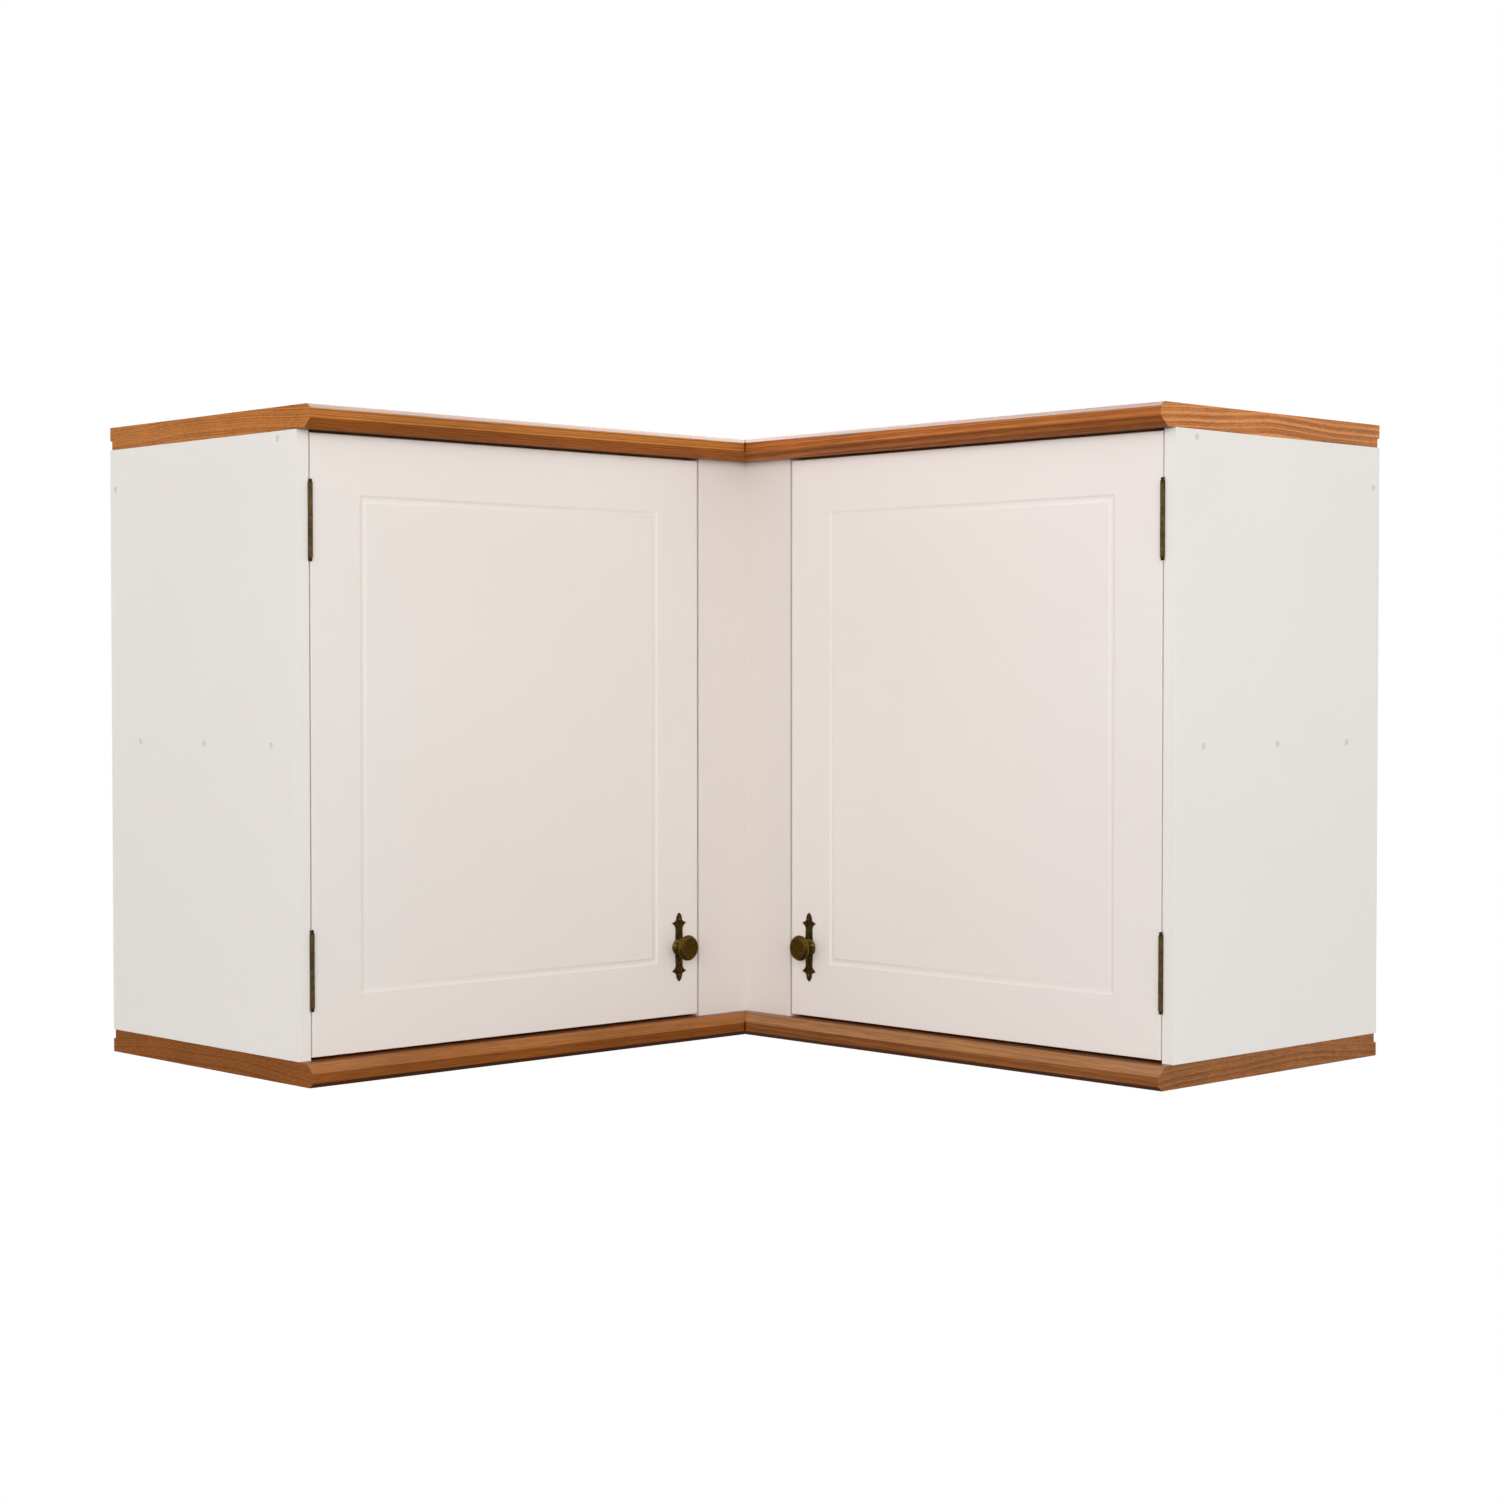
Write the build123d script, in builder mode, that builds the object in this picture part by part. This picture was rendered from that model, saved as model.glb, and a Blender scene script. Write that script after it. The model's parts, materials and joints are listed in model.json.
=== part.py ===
from build123d import *
import os

os.makedirs("parts", exist_ok=True)

# A wall cabinet for the corner of a room, in mm.  Its origin is the corner of the room
# at the level of the cabinet's underside, and +Z is up.  The right arm runs along +X
# with its back on the wall y = 0, and the left arm runs along -Y with its back on the
# wall x = 0.  Every piece on an arm is placed by its run (distance from the room
# corner), its out (distance from the wall) and its up (height above the underside).

# ---- Carcass ----
height = 700.0  # underside of the bottom boards to the top of the top boards
arm_length = 1000.0  # room corner to the outer end of an arm
depth = 366.0  # wall to the front of the doors, fillers and side panels
board = 25.0  # top and bottom boards
side_thickness = 15.0
front_thickness = 18.0  # doors and fillers
back_thickness = 4.0
shelf_thickness = 15.0
filler_width = 75.0

# ---- Moulded front edge of the boards ----
soffit_overhang = 14.0
nose_overhang = 25.0
outer_overhang = 19.0
nose_inner_chamfer = 10.0  # height of the chamfer next to the doors
nose_outer_chamfer = 5.0  # height of the chamfer away from the doors

# ---- Back panel rebates and pins ----
board_rebate = 10.0  # how far the back panel laps over a board
side_rebate = 8.0  # how far the rebate reaches into a side panel
back_clearance = 0.5
pin_head_radius = 1.6
pin_shank_radius = 0.8
pin_length = 20.0
pin_end = 50.0  # first and last pin to the corner and to the end of the back panel
pin_spaces = 6  # spaces between the pins along a board
side_pin_spaces = 3  # spaces between the pins up a side panel

# ---- Rails, shelf and corner post ----
hanging_rail_height = 90.0
hanging_rail_thickness = 16.0
wall_hole_radius = 3.0
wall_hole_first = 250.0  # run of the wall hole that is nearer to the corner
wall_hole_spacing = 600.0
front_rail_height = 16.0
front_rail_depth = 30.0
rail_to_door = 1.0
shelf_to_door = 5.0
post_width = 45.0
post_depth = 30.0
post_lap = 15.0  # how far the post reaches behind the right filler
notch_clearance = 0.5

# ---- Doors ----
gap_hinge = 2.0
gap_latch = 3.0
gap_top = 2.5
gap_bottom = 3.0
edge_round = 0.8
groove_inset = 61.5  # edge of the door to the outer lip of the groove
groove_radius = 4.5  # radius of the ball-nosed cutter
groove_depth = 3.0

# ---- Hinges ----
hinge_inset = 90.0  # top or bottom edge of the door to the middle of a hinge
barrel_length = 77.0
barrel_radius = 2.4
barrel_proud = 1.5  # pin axis in front of the door's face
knuckle_count = 5
knuckle_gap = 0.3
pin_radius = 1.1
pin_fit = 0.05  # radial clearance of the pin in the knuckles
gain_clearance = 0.5  # round the barrel, in the door and the side panel
leaf_thickness = 1.0
leaf_gap = 0.4  # between the two leaves of a shut hinge
leaf_width = 14.0  # how far a leaf reaches back from the door's face
leaf_lap = 0.7  # how far a leaf runs into its knuckle's wall
finial_height = 4.0
leaf_screw_pitch = 27.0
leaf_screw_back = 7.0  # door's face to the line of the leaf screws
leaf_screw_head = 2.6
leaf_screw_shank = 1.3
leaf_screw_length = 12.0

# ---- Knobs and backplates ----
knob_to_latch = 29.5  # latch edge of the door to the knob's axis
knob_rise = 80.0  # bottom edge of the door to the knob's axis
plate_length = 80.0
plate_thickness = 1.6
plate_waist = 10.0  # width next to a pair of wings
plate_root = 12.0  # width next to the boss
plate_wing_span = 22.0
plate_wing_rise = 28.0  # knob's axis to a pair of wing tips
boss_radius = 10.0
boss_height = 6.0
knob_radius = 14.8
knob_neck_radius = 4.4
knob_back = 14.0  # door's face to the back of the disc
knob_rim = 4.0  # width of the disc's rim
knob_front = 20.5  # door's face to the front of the disc
knob_dish = 0.9  # depth of the hollow in the front of the disc
knob_flare = 1.0  # the neck's widening ends this far behind the disc
knob_back_fall = 0.5  # how far the back of the disc falls away to its edge
knob_screw_radius = 2.0
knob_screw_head_radius = 4.2
knob_screw_head_height = 2.4
knob_screw_engagement = 9.0  # depth of the knob's threaded hole
knob_screw_end_gap = 0.5  # screw's end to the bottom of that hole
knob_screw_slot = 1.0
nail_rise = 32.5  # knob's axis to a backplate nail
nail_shank_radius = 0.8
nail_head_radius = 1.5
nail_length = 11.0

# ---- Magnetic catches ----
catch_length = 46.0
catch_width = 25.0
catch_height = 13.0
catch_to_latch = 8.0  # latch edge of the door to the catch
magnet_length = 26.0
magnet_width = 16.0
magnet_height = 8.0
magnet_proud = 0.6
magnet_clearance = 0.1
catch_corner = 2.0
strike_length = 40.0
strike_height = 12.0
strike_thickness = 1.0
strike_gap = 0.4  # between the magnet and the strike plate
catch_screw_head = 2.8
catch_screw_shank = 1.4
catch_screw_spacing = 37.0
catch_screw_length = 22.0
strike_screw_spacing = 30.0
strike_screw_length = 11.0

# ---- Fixings of the carcass ----
side_screw_head = 4.0
side_screw_shank = 2.0
side_screw_length = 40.0
shelf_screw_back = 57.0  # back edge of the shelf to its first screw
shelf_screw_front = 25.0  # front edge of the shelf to its last screw
plug_thickness = 1.5
plug_radius = 4.4
post_screw_length = 45.0
post_screw_rise = 75.0  # end of the post to its first screw
post_screw_count = 3
dowel_radius = 3.0
dowel_length = 30.0
dowel_first = 60.0  # wall to the first dowel of a side panel
dowel_pitch = 125.0
dowel_count = 3
dowel_in_board = 14.0
shelf_dowel_pitch = 90.0
biscuit_length = 56.0
biscuit_width = 23.0
biscuit_thickness = 4.0
biscuit_first = 80.0  # wall to the first biscuit, square to the wall
biscuit_pitch = 110.0
biscuit_count = 3
fixing_clearance = 0.05  # between a fixing and its hole

# ---- Levels and distances that follow ----
soffit = height - board  # under the top boards
shelf_middle = height / 2
inner_face = depth - front_thickness  # wall to the back of the doors and fillers
side_inner = arm_length - side_thickness
shelf_front = inner_face - shelf_to_door
rail_front = inner_face - rail_to_door
rail_back = back_thickness + hanging_rail_thickness
hanging_rail_middle = soffit - hanging_rail_height / 2
front_rail_middle = soffit - front_rail_height / 2
filler_end = depth + filler_width
door_latch = filler_end + gap_latch
door_hinge = side_inner - gap_hinge
door_bottom = board + gap_bottom
door_top = soffit - gap_top
back_end = side_inner + side_rebate - back_clearance
back_low = board - board_rebate + back_clearance
back_high = height - back_low
pin_run = side_inner - gap_hinge / 2
pin_out = depth + barrel_proud
hinge_levels = {"lower": door_bottom + hinge_inset, "upper": door_top - hinge_inset}
knuckle_length = (barrel_length - (knuckle_count - 1) * knuckle_gap) / knuckle_count
knob_run = door_latch + knob_to_latch
knob_up = door_bottom + knob_rise
catch_run = door_latch + catch_to_latch + catch_length / 2
catch_up = shelf_middle - shelf_thickness / 2 - catch_height / 2
catch_front = inner_face - strike_thickness - strike_gap - magnet_proud
catch_screw_out = catch_front - catch_width / 2
post_high_x = depth + post_lap
post_low_x = post_high_x - post_width
post_back = inner_face - post_depth
mitre = Plane(origin=(0, 0, 0), z_dir=(1, 1, 0))


class Arm:
    """One arm of the cabinet, with the planes and points that its pieces use."""

    def __init__(self, name, run_dir, out_dir, keep):
        self.name = name
        self.run_dir = Vector(*run_dir)
        self.out_dir = Vector(*out_dir)
        self.up_dir = Vector(0, 0, 1)
        self.keep = keep  # side of the mitre that this arm's boards lie on

    def point(self, run, out, up):
        """The place at a run, an out and an up."""
        return self.run_dir * run + self.out_dir * out + self.up_dir * up

    def section(self, run):
        """The plane across the arm at a run: local x is out and local y is up."""
        origin = self.point(run, 0, 0)
        return Plane(origin=origin, x_dir=self.out_dir, z_dir=self.out_dir.cross(self.up_dir))

    def facing(self, run, out, up):
        """The plane at a point that faces the room, with local y up."""
        origin = self.point(run, out, up)
        return Plane(origin=origin, x_dir=self.up_dir.cross(self.out_dir), z_dir=self.out_dir)

    def toward(self, run, out, up, direction):
        """The plane at a point whose normal is a direction."""
        return Plane(origin=self.point(run, out, up), z_dir=direction)

    def plan(self, run, out):
        """The x and y of a run and an out."""
        place = self.point(run, out, 0)
        return (place.X, place.Y)


right = Arm("right", (1, 0, 0), (0, -1, 0), Keep.TOP)
left = Arm("left", (0, -1, 0), (1, 0, 0), Keep.BOTTOM)
arms = (left, right)


def keep_piece(builder, name):
    """Labels a finished piece and writes it."""
    builder.part.label = name
    export_step(builder.part, f"parts/{name}.step")


def rectangle(low_x, high_x, low_y, high_y):
    """Draws a rectangle between two corners in the sketch that is open."""
    with Locations(((low_x + high_x) / 2, (low_y + high_y) / 2)):
        Rectangle(high_x - low_x, high_y - low_y)


def block(arm, run, out, up):
    """A rectangular block of an arm between two runs, two outs and two ups."""
    with BuildPart() as piece:
        with BuildSketch(arm.section(run[0])):
            rectangle(out[0], out[1], up[0], up[1])
        extrude(amount=run[1] - run[0], dir=arm.run_dir)
    return piece


def rod(radius, length, start=0.0):
    """A plain rod along Z from start."""
    with BuildPart() as piece:
        with BuildSketch(Plane.XY.offset(start)):
            Circle(radius)
        extrude(amount=length)
    return piece


def countersunk(head_radius, shank_radius, length, clearance=0.0):
    """A countersunk screw or pin: its head's top is at Z = 0 and its point is below.

    With a clearance it is the hole that takes the screw.
    """
    head_edge = head_radius + clearance
    shank_edge = shank_radius + clearance
    neck = shank_radius - head_radius
    shoulder = 2 * shank_radius - length
    with BuildPart() as piece:
        with BuildSketch(Plane.XZ):
            with BuildLine():
                Polyline(
                    (0, 0),
                    (head_edge, 0),
                    (shank_edge, neck),
                    (shank_edge, shoulder),
                    (0, -length - clearance),
                    close=True,
                )
            make_face()
        revolve(axis=Axis.Z)
    return piece


def slotted(head_radius, shank_radius, length):
    """A countersunk screw with a slot across its head."""
    blank = countersunk(head_radius, shank_radius, length)
    with BuildPart() as piece:
        add(blank.part)
        slot_depth = (head_radius - shank_radius) / 2
        Box(2 * head_radius, head_radius / 4, 2 * slot_depth, mode=Mode.SUBTRACT)
    return piece


def copies(template, places):
    """The same piece at several places, as separate solids."""
    with BuildPart() as group:
        with Locations(*places):
            add(template.part)
    return group


# ---- Places of the fixings ----


def side_screw_places(arm, run):
    """Where the screws go through a side panel into the shelf and the rails."""
    shelf_first = back_thickness + shelf_screw_back
    shelf_last = shelf_front - shelf_screw_front
    shelf_outs = (shelf_first, (shelf_first + shelf_last) / 2, shelf_last)
    spots = [(out, shelf_middle) for out in shelf_outs]
    spots.append((rail_front - front_rail_depth / 2, front_rail_middle))
    spots.append((back_thickness + hanging_rail_thickness / 2, hanging_rail_middle))
    return [arm.toward(run, out, up, arm.run_dir) for out, up in spots]


def joint_dowel_places(arm, joint_up):
    """Where the dowels cross a joint between the upright pieces and a board."""
    shift = dowel_length / 2 - dowel_in_board
    middle = joint_up - shift if joint_up > shelf_middle else joint_up + shift
    low = middle - dowel_length / 2
    side_middle = arm_length - side_thickness / 2
    outs = [dowel_first + i * dowel_pitch for i in range(dowel_count)]
    places = [arm.toward(side_middle, out, low, (0, 0, 1)) for out in outs]
    filler_middle = depth + filler_width / 2
    places.append(arm.toward(filler_middle, depth - front_thickness / 2, low, (0, 0, 1)))
    return places


def shelf_dowel_places():
    """Where the dowels cross the joint between the two halves of the shelf."""
    start = shelf_front - dowel_length / 2
    middle = (back_thickness + post_back) / 2
    outs = [middle + i * shelf_dowel_pitch for i in (-1, 0, 1)]
    return [right.toward(start, out, shelf_middle, right.run_dir) for out in outs]


def biscuit_places(up):
    """Where the biscuits cross the mitre of the boards whose middle is at up."""
    low = up - biscuit_thickness / 2
    spots = [biscuit_first + i * biscuit_pitch for i in range(biscuit_count)]
    return [Location((spot, -spot, low), (0, 0, -45)) for spot in spots]


def board_pin_places(arm, up):
    """Where the pins hold the back panel to a board."""
    step = (back_end - 2 * pin_end) / pin_spaces
    runs = [pin_end + i * step for i in range(pin_spaces + 1)]
    return [arm.toward(run, 0, up, -arm.out_dir) for run in runs]


def side_pin_places(arm):
    """Where the pins hold the back panel to a side panel."""
    run = side_inner + side_rebate / 2
    step = (soffit - board - 2 * pin_end) / side_pin_spaces
    ups = [board + pin_end + i * step for i in range(side_pin_spaces + 1)]
    return [arm.toward(run, 0, up, -arm.out_dir) for up in ups]


def gain_places(arm):
    """Where the round cuts for the barrels start, in a door and its side panel."""
    below = barrel_length / 2 + finial_height + gain_clearance
    return [arm.toward(pin_run, pin_out, level - below, (0, 0, 1)) for level in hinge_levels.values()]


def leaf_screw_places(arm, run, direction):
    """Where the screws of the two leaves on a door or a side panel go."""
    out = depth - leaf_screw_back
    spots = [level + i * leaf_screw_pitch for level in hinge_levels.values() for i in (-1, 0, 1)]
    return [arm.toward(run, out, up, direction) for up in spots]


def catch_screw_places(arm):
    """Where the screws hold a catch under the shelf."""
    low = catch_up - catch_height / 2
    runs = [catch_run + i * catch_screw_spacing / 2 for i in (-1, 1)]
    return [arm.toward(run, catch_screw_out, low, (0, 0, -1)) for run in runs]


def strike_screw_places(arm):
    """Where the screws hold a strike plate on a door."""
    runs = [catch_run + i * strike_screw_spacing / 2 for i in (-1, 1)]
    return [arm.toward(run, inner_face - strike_thickness, catch_up, -arm.out_dir) for run in runs]


def post_screw_places():
    """Where the screws go through the corner post, and into which filler."""
    step = (soffit - board - 2 * post_screw_rise) / (post_screw_count - 1)
    ups = [board + post_screw_rise + i * step for i in range(post_screw_count)]
    stagger = 3 * side_screw_head
    into_right = [right.toward(depth + post_lap / 2, post_back, up, -right.out_dir) for up in ups]
    left_run = depth - front_thickness / 2
    into_left = [right.toward(left_run, post_back, up + stagger, -right.out_dir) for up in ups]
    return into_right + into_left


wall_hole_runs = (wall_hole_first, wall_hole_first + wall_hole_spacing)

# ---- Fixings and the holes that take them ----

side_screw = slotted(side_screw_head, side_screw_shank, side_screw_length)
side_screw_hole = countersunk(side_screw_head, side_screw_shank, side_screw_length, fixing_clearance)
post_screw = slotted(side_screw_head, side_screw_shank, post_screw_length)
post_screw_hole = countersunk(side_screw_head, side_screw_shank, post_screw_length, fixing_clearance)
leaf_screw = slotted(leaf_screw_head, leaf_screw_shank, leaf_screw_length)
leaf_screw_hole = countersunk(leaf_screw_head, leaf_screw_shank, leaf_screw_length, fixing_clearance)
catch_screw = slotted(catch_screw_head, catch_screw_shank, catch_screw_length)
catch_screw_hole = countersunk(catch_screw_head, catch_screw_shank, catch_screw_length, fixing_clearance)
strike_screw = slotted(catch_screw_head, catch_screw_shank, strike_screw_length)
strike_screw_hole = countersunk(catch_screw_head, catch_screw_shank, strike_screw_length, fixing_clearance)
back_pin = countersunk(pin_head_radius, pin_shank_radius, pin_length)
back_pin_hole = countersunk(pin_head_radius, pin_shank_radius, pin_length, fixing_clearance)
plug = rod(plug_radius, plug_thickness, -plug_thickness)
plug_hole = rod(plug_radius + fixing_clearance, plug_thickness, -plug_thickness)
dowel = rod(dowel_radius, dowel_length)
dowel_hole = rod(dowel_radius + fixing_clearance, dowel_length)
wall_hole = rod(wall_hole_radius, rail_back)
knob_screw_hole = rod(knob_screw_radius + fixing_clearance, front_thickness)
gain = rod(barrel_radius + gain_clearance, barrel_length + 2 * finial_height + 2 * gain_clearance)


def biscuit_shape(clearance):
    """A beech biscuit lying flat on Z = 0, or its slot with a clearance."""
    with BuildPart() as piece:
        with BuildSketch(Plane.XY.offset(-clearance)):
            Ellipse(biscuit_length / 2 + clearance, biscuit_width / 2 + clearance)
        extrude(amount=biscuit_thickness + 2 * clearance)
    return piece


biscuit = biscuit_shape(0.0)
biscuit_slot = biscuit_shape(fixing_clearance)


def backplate_nail(clearance=0.0):
    """A round-headed nail: the underside of its head is at Z = 0.

    With a clearance it is only the hole for the shank.
    """
    shank_edge = nail_shank_radius + clearance
    with BuildPart() as piece:
        with BuildSketch(Plane.XZ):
            with BuildLine():
                if clearance:
                    Polyline((0, -nail_length), (0, 0), (shank_edge, 0))
                else:
                    dome = CenterArc((0, 0), nail_head_radius, 0, 90)
                    Line(dome @ 1, (0, -nail_length))
                    Line(dome @ 0, (shank_edge, 0))
                Line((shank_edge, 0), (shank_edge, 2 * nail_shank_radius - nail_length))
                Line((shank_edge, 2 * nail_shank_radius - nail_length), (0, -nail_length))
            make_face()
        revolve(axis=Axis.Z)
    return piece


nail = backplate_nail()
nail_hole = backplate_nail(fixing_clearance)


# ---- Carcass ----


def board_level(top, inward):
    """Height of a point that lies a distance beyond a board's inner face."""
    return soffit + inward if top else board - inward


def arm_board(arm, top):
    """A top or bottom board of one arm: moulded front edge, rebated back, mitred end."""
    joint_up = board_level(top, 0)
    pin_up = board_level(top, board_rebate / 2)
    with BuildPart() as piece:
        with BuildSketch(arm.section(0)):
            with BuildLine():
                Polyline(
                    (back_thickness, board_level(top, 0)),
                    (depth + soffit_overhang, board_level(top, 0)),
                    (depth + nose_overhang, board_level(top, nose_inner_chamfer)),
                    (depth + nose_overhang, board_level(top, board - nose_outer_chamfer)),
                    (depth + outer_overhang, board_level(top, board)),
                    (0, board_level(top, board)),
                    (0, board_level(top, board_rebate)),
                    (back_thickness, board_level(top, board_rebate)),
                    close=True,
                )
            make_face()
        extrude(amount=arm_length, dir=arm.run_dir)
        split(bisect_by=mitre, keep=arm.keep)
        with Locations(*joint_dowel_places(arm, joint_up)):
            add(dowel_hole.part, mode=Mode.SUBTRACT)
        with Locations(*biscuit_places(board_level(top, board / 2))):
            add(biscuit_slot.part, mode=Mode.SUBTRACT)
        with Locations(*board_pin_places(arm, pin_up)):
            add(back_pin_hole.part, mode=Mode.SUBTRACT)
    return piece


def side_panel(arm):
    """The closed end of an arm, rebated for the back panel and cut for the hinges."""
    screw_run = arm_length - plug_thickness
    leaf_run = side_inner - leaf_thickness
    with BuildPart() as piece:
        with BuildSketch(arm.section(side_inner)):
            rectangle(0, depth, board, soffit)
        extrude(amount=side_thickness, dir=arm.run_dir)
        with BuildSketch(arm.section(side_inner)):
            rectangle(0, back_thickness, board, soffit)
        extrude(amount=side_rebate, dir=arm.run_dir, mode=Mode.SUBTRACT)
        with Locations(*gain_places(arm)):
            add(gain.part, mode=Mode.SUBTRACT)
        with Locations(*side_screw_places(arm, arm_length)):
            add(plug_hole.part, mode=Mode.SUBTRACT)
        with Locations(*side_screw_places(arm, screw_run)):
            add(side_screw_hole.part, mode=Mode.SUBTRACT)
        with Locations(*leaf_screw_places(arm, leaf_run, -arm.run_dir)):
            add(leaf_screw_hole.part, mode=Mode.SUBTRACT)
        with Locations(*joint_dowel_places(arm, board), *joint_dowel_places(arm, soffit)):
            add(dowel_hole.part, mode=Mode.SUBTRACT)
        with Locations(*side_pin_places(arm)):
            add(back_pin_hole.part, mode=Mode.SUBTRACT)
    return piece


def back_panel(arm):
    """The thin back of an arm; the right one butts against the left one."""
    start = 0.0 if arm is left else back_thickness
    middle_up = board_level(True, board_rebate / 2)
    pin_places = board_pin_places(arm, middle_up) + board_pin_places(arm, height - middle_up)
    with BuildPart() as piece:
        with BuildSketch(arm.section(start)):
            rectangle(0, back_thickness, back_low, back_high)
        extrude(amount=back_end - start, dir=arm.run_dir)
        with Locations(*[arm.facing(run, 0, hanging_rail_middle) for run in wall_hole_runs]):
            add(wall_hole.part, mode=Mode.SUBTRACT)
        with Locations(*pin_places, *side_pin_places(arm)):
            add(back_pin_hole.part, mode=Mode.SUBTRACT)
    return piece


def filler(arm):
    """The fixed strip between the inner corner and a door; the left one runs through."""
    start = inner_face if arm is left else depth
    with BuildPart() as piece:
        with BuildSketch(arm.section(start)):
            rectangle(inner_face, depth, board, soffit)
        extrude(amount=filler_end - start, dir=arm.run_dir)
        with Locations(*post_screw_places()):
            add(post_screw_hole.part, mode=Mode.SUBTRACT)
        with Locations(*joint_dowel_places(arm, board), *joint_dowel_places(arm, soffit)):
            add(dowel_hole.part, mode=Mode.SUBTRACT)
    return piece


def corner_post():
    """The upright behind the two fillers."""
    with BuildPart() as piece:
        with BuildSketch(right.section(post_low_x)):
            rectangle(post_back, inner_face, board, soffit)
        extrude(amount=post_width, dir=right.run_dir)
        with Locations(*post_screw_places()):
            add(post_screw_hole.part, mode=Mode.SUBTRACT)
    return piece


def shelf(arm):
    """Half of the fixed shelf; the left half runs into the room corner."""
    start = back_thickness if arm is left else shelf_front
    low = shelf_middle - shelf_thickness / 2
    notch_run = (post_low_x - notch_clearance, post_high_x + notch_clearance)
    notch_out = (post_back - notch_clearance, inner_face)
    notch = block(right, notch_run, notch_out, (low, low + shelf_thickness))
    with BuildPart() as piece:
        with BuildSketch(arm.section(start)):
            rectangle(back_thickness, shelf_front, low, low + shelf_thickness)
        extrude(amount=side_inner - start, dir=arm.run_dir)
        add(notch.part, mode=Mode.SUBTRACT)
        with Locations(*side_screw_places(arm, arm_length - plug_thickness)):
            add(side_screw_hole.part, mode=Mode.SUBTRACT)
        with Locations(*shelf_dowel_places()):
            add(dowel_hole.part, mode=Mode.SUBTRACT)
        with Locations(*catch_screw_places(arm)):
            add(catch_screw_hole.part, mode=Mode.SUBTRACT)
    return piece


def hanging_rail(arm):
    """The rail that carries the cabinet on the wall, with its two wall holes."""
    start = back_thickness if arm is left else rail_back
    with BuildPart() as piece:
        with BuildSketch(arm.section(start)):
            rectangle(back_thickness, rail_back, soffit - hanging_rail_height, soffit)
        extrude(amount=side_inner - start, dir=arm.run_dir)
        with Locations(*[arm.facing(run, 0, hanging_rail_middle) for run in wall_hole_runs]):
            add(wall_hole.part, mode=Mode.SUBTRACT)
        with Locations(*side_screw_places(arm, arm_length - plug_thickness)):
            add(side_screw_hole.part, mode=Mode.SUBTRACT)
    return piece


def front_rail(arm):
    """The rail under the front of the top board, which the shut door nearly touches."""
    start = inner_face if arm is left else post_high_x
    with BuildPart() as piece:
        with BuildSketch(arm.section(start)):
            rectangle(rail_front - front_rail_depth, rail_front, soffit - front_rail_height, soffit)
        extrude(amount=side_inner - start, dir=arm.run_dir)
        with Locations(*side_screw_places(arm, arm_length - plug_thickness)):
            add(side_screw_hole.part, mode=Mode.SUBTRACT)
    return piece


# ---- Hinges ----


def hinge_leaf(arm, level, near_run, screw_run, screw_direction, first_knuckle):
    """A leaf in the door gap with every second knuckle of the barrel."""
    low = level - barrel_length / 2
    leaf_back = depth - leaf_width
    clear_edge = pin_out - barrel_radius - gain_clearance
    knuckle_edge = pin_out - barrel_radius + leaf_lap
    knuckle_step = knuckle_length + knuckle_gap
    knuckle_lows = [low + i * knuckle_step for i in range(first_knuckle, knuckle_count, 2)]
    knuckle_plan = arm.plan(pin_run, pin_out)
    pin_hole = rod(pin_radius + pin_fit, barrel_length)
    with BuildPart() as piece:
        with BuildSketch(arm.section(near_run)):
            rectangle(leaf_back, clear_edge, low, low + barrel_length)
            for knuckle_low in knuckle_lows:
                rectangle(leaf_back, knuckle_edge, knuckle_low, knuckle_low + knuckle_length)
        extrude(amount=leaf_thickness, dir=arm.run_dir)
        for knuckle_low in knuckle_lows:
            with BuildSketch(Plane.XY.offset(knuckle_low)):
                with Locations(knuckle_plan):
                    Circle(barrel_radius)
            extrude(amount=knuckle_length)
        with Locations(arm.toward(pin_run, pin_out, low, (0, 0, 1))):
            add(pin_hole.part, mode=Mode.SUBTRACT)
        with Locations(*leaf_screw_places(arm, screw_run, screw_direction)):
            add(leaf_screw_hole.part, mode=Mode.SUBTRACT)
    return piece


def hinge_pin():
    """A hinge pin along Z with a turned finial at each end of the barrel."""
    half = barrel_length / 2
    with BuildPart() as piece:
        with BuildSketch(Plane.XZ):
            with BuildLine():
                Polyline(
                    (0, 0),
                    (pin_radius, 0),
                    (pin_radius, half),
                    (0.9 * barrel_radius, half),
                    (0.9 * barrel_radius, half + 0.2 * finial_height),
                    (0.5 * barrel_radius, half + 0.35 * finial_height),
                    (0.8 * barrel_radius, half + 0.6 * finial_height),
                    (0.6 * barrel_radius, half + 0.85 * finial_height),
                    (0, half + finial_height),
                    close=True,
                )
            make_face()
        revolve(axis=Axis.Z)
        mirror(about=Plane.XY)
    return piece


# ---- Doors ----


def groove_cutter():
    """What a ball-nosed cutter takes out as it runs round a door's panel.

    The middle of the cutter's ball stays on Z = 0 and the door lies below.  The outer
    half of the groove turns its corners round, and the inner half turns them sharp.
    """
    to_middle = groove_inset + (2 * groove_radius * groove_depth - groove_depth**2) ** 0.5
    half_width = (door_hinge - door_latch) / 2 - to_middle
    half_height = (door_top - door_bottom) / 2 - to_middle
    with BuildPart() as cutter:
        for first_angle, corner in ((180, Transition.ROUND), (270, Transition.RIGHT)):
            with BuildSketch(Plane.YZ):
                with BuildLine():
                    nose = CenterArc((-half_height, 0), groove_radius, first_angle, 90)
                    Polyline(nose @ 1, (-half_height, 0), nose @ 0)
                make_face()
            with BuildLine(Plane.XY):
                Polyline(
                    (0, -half_height),
                    (half_width, -half_height),
                    (half_width, half_height),
                    (-half_width, half_height),
                    (-half_width, -half_height),
                    close=True,
                )
            sweep(transition=corner)
    return cutter


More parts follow.
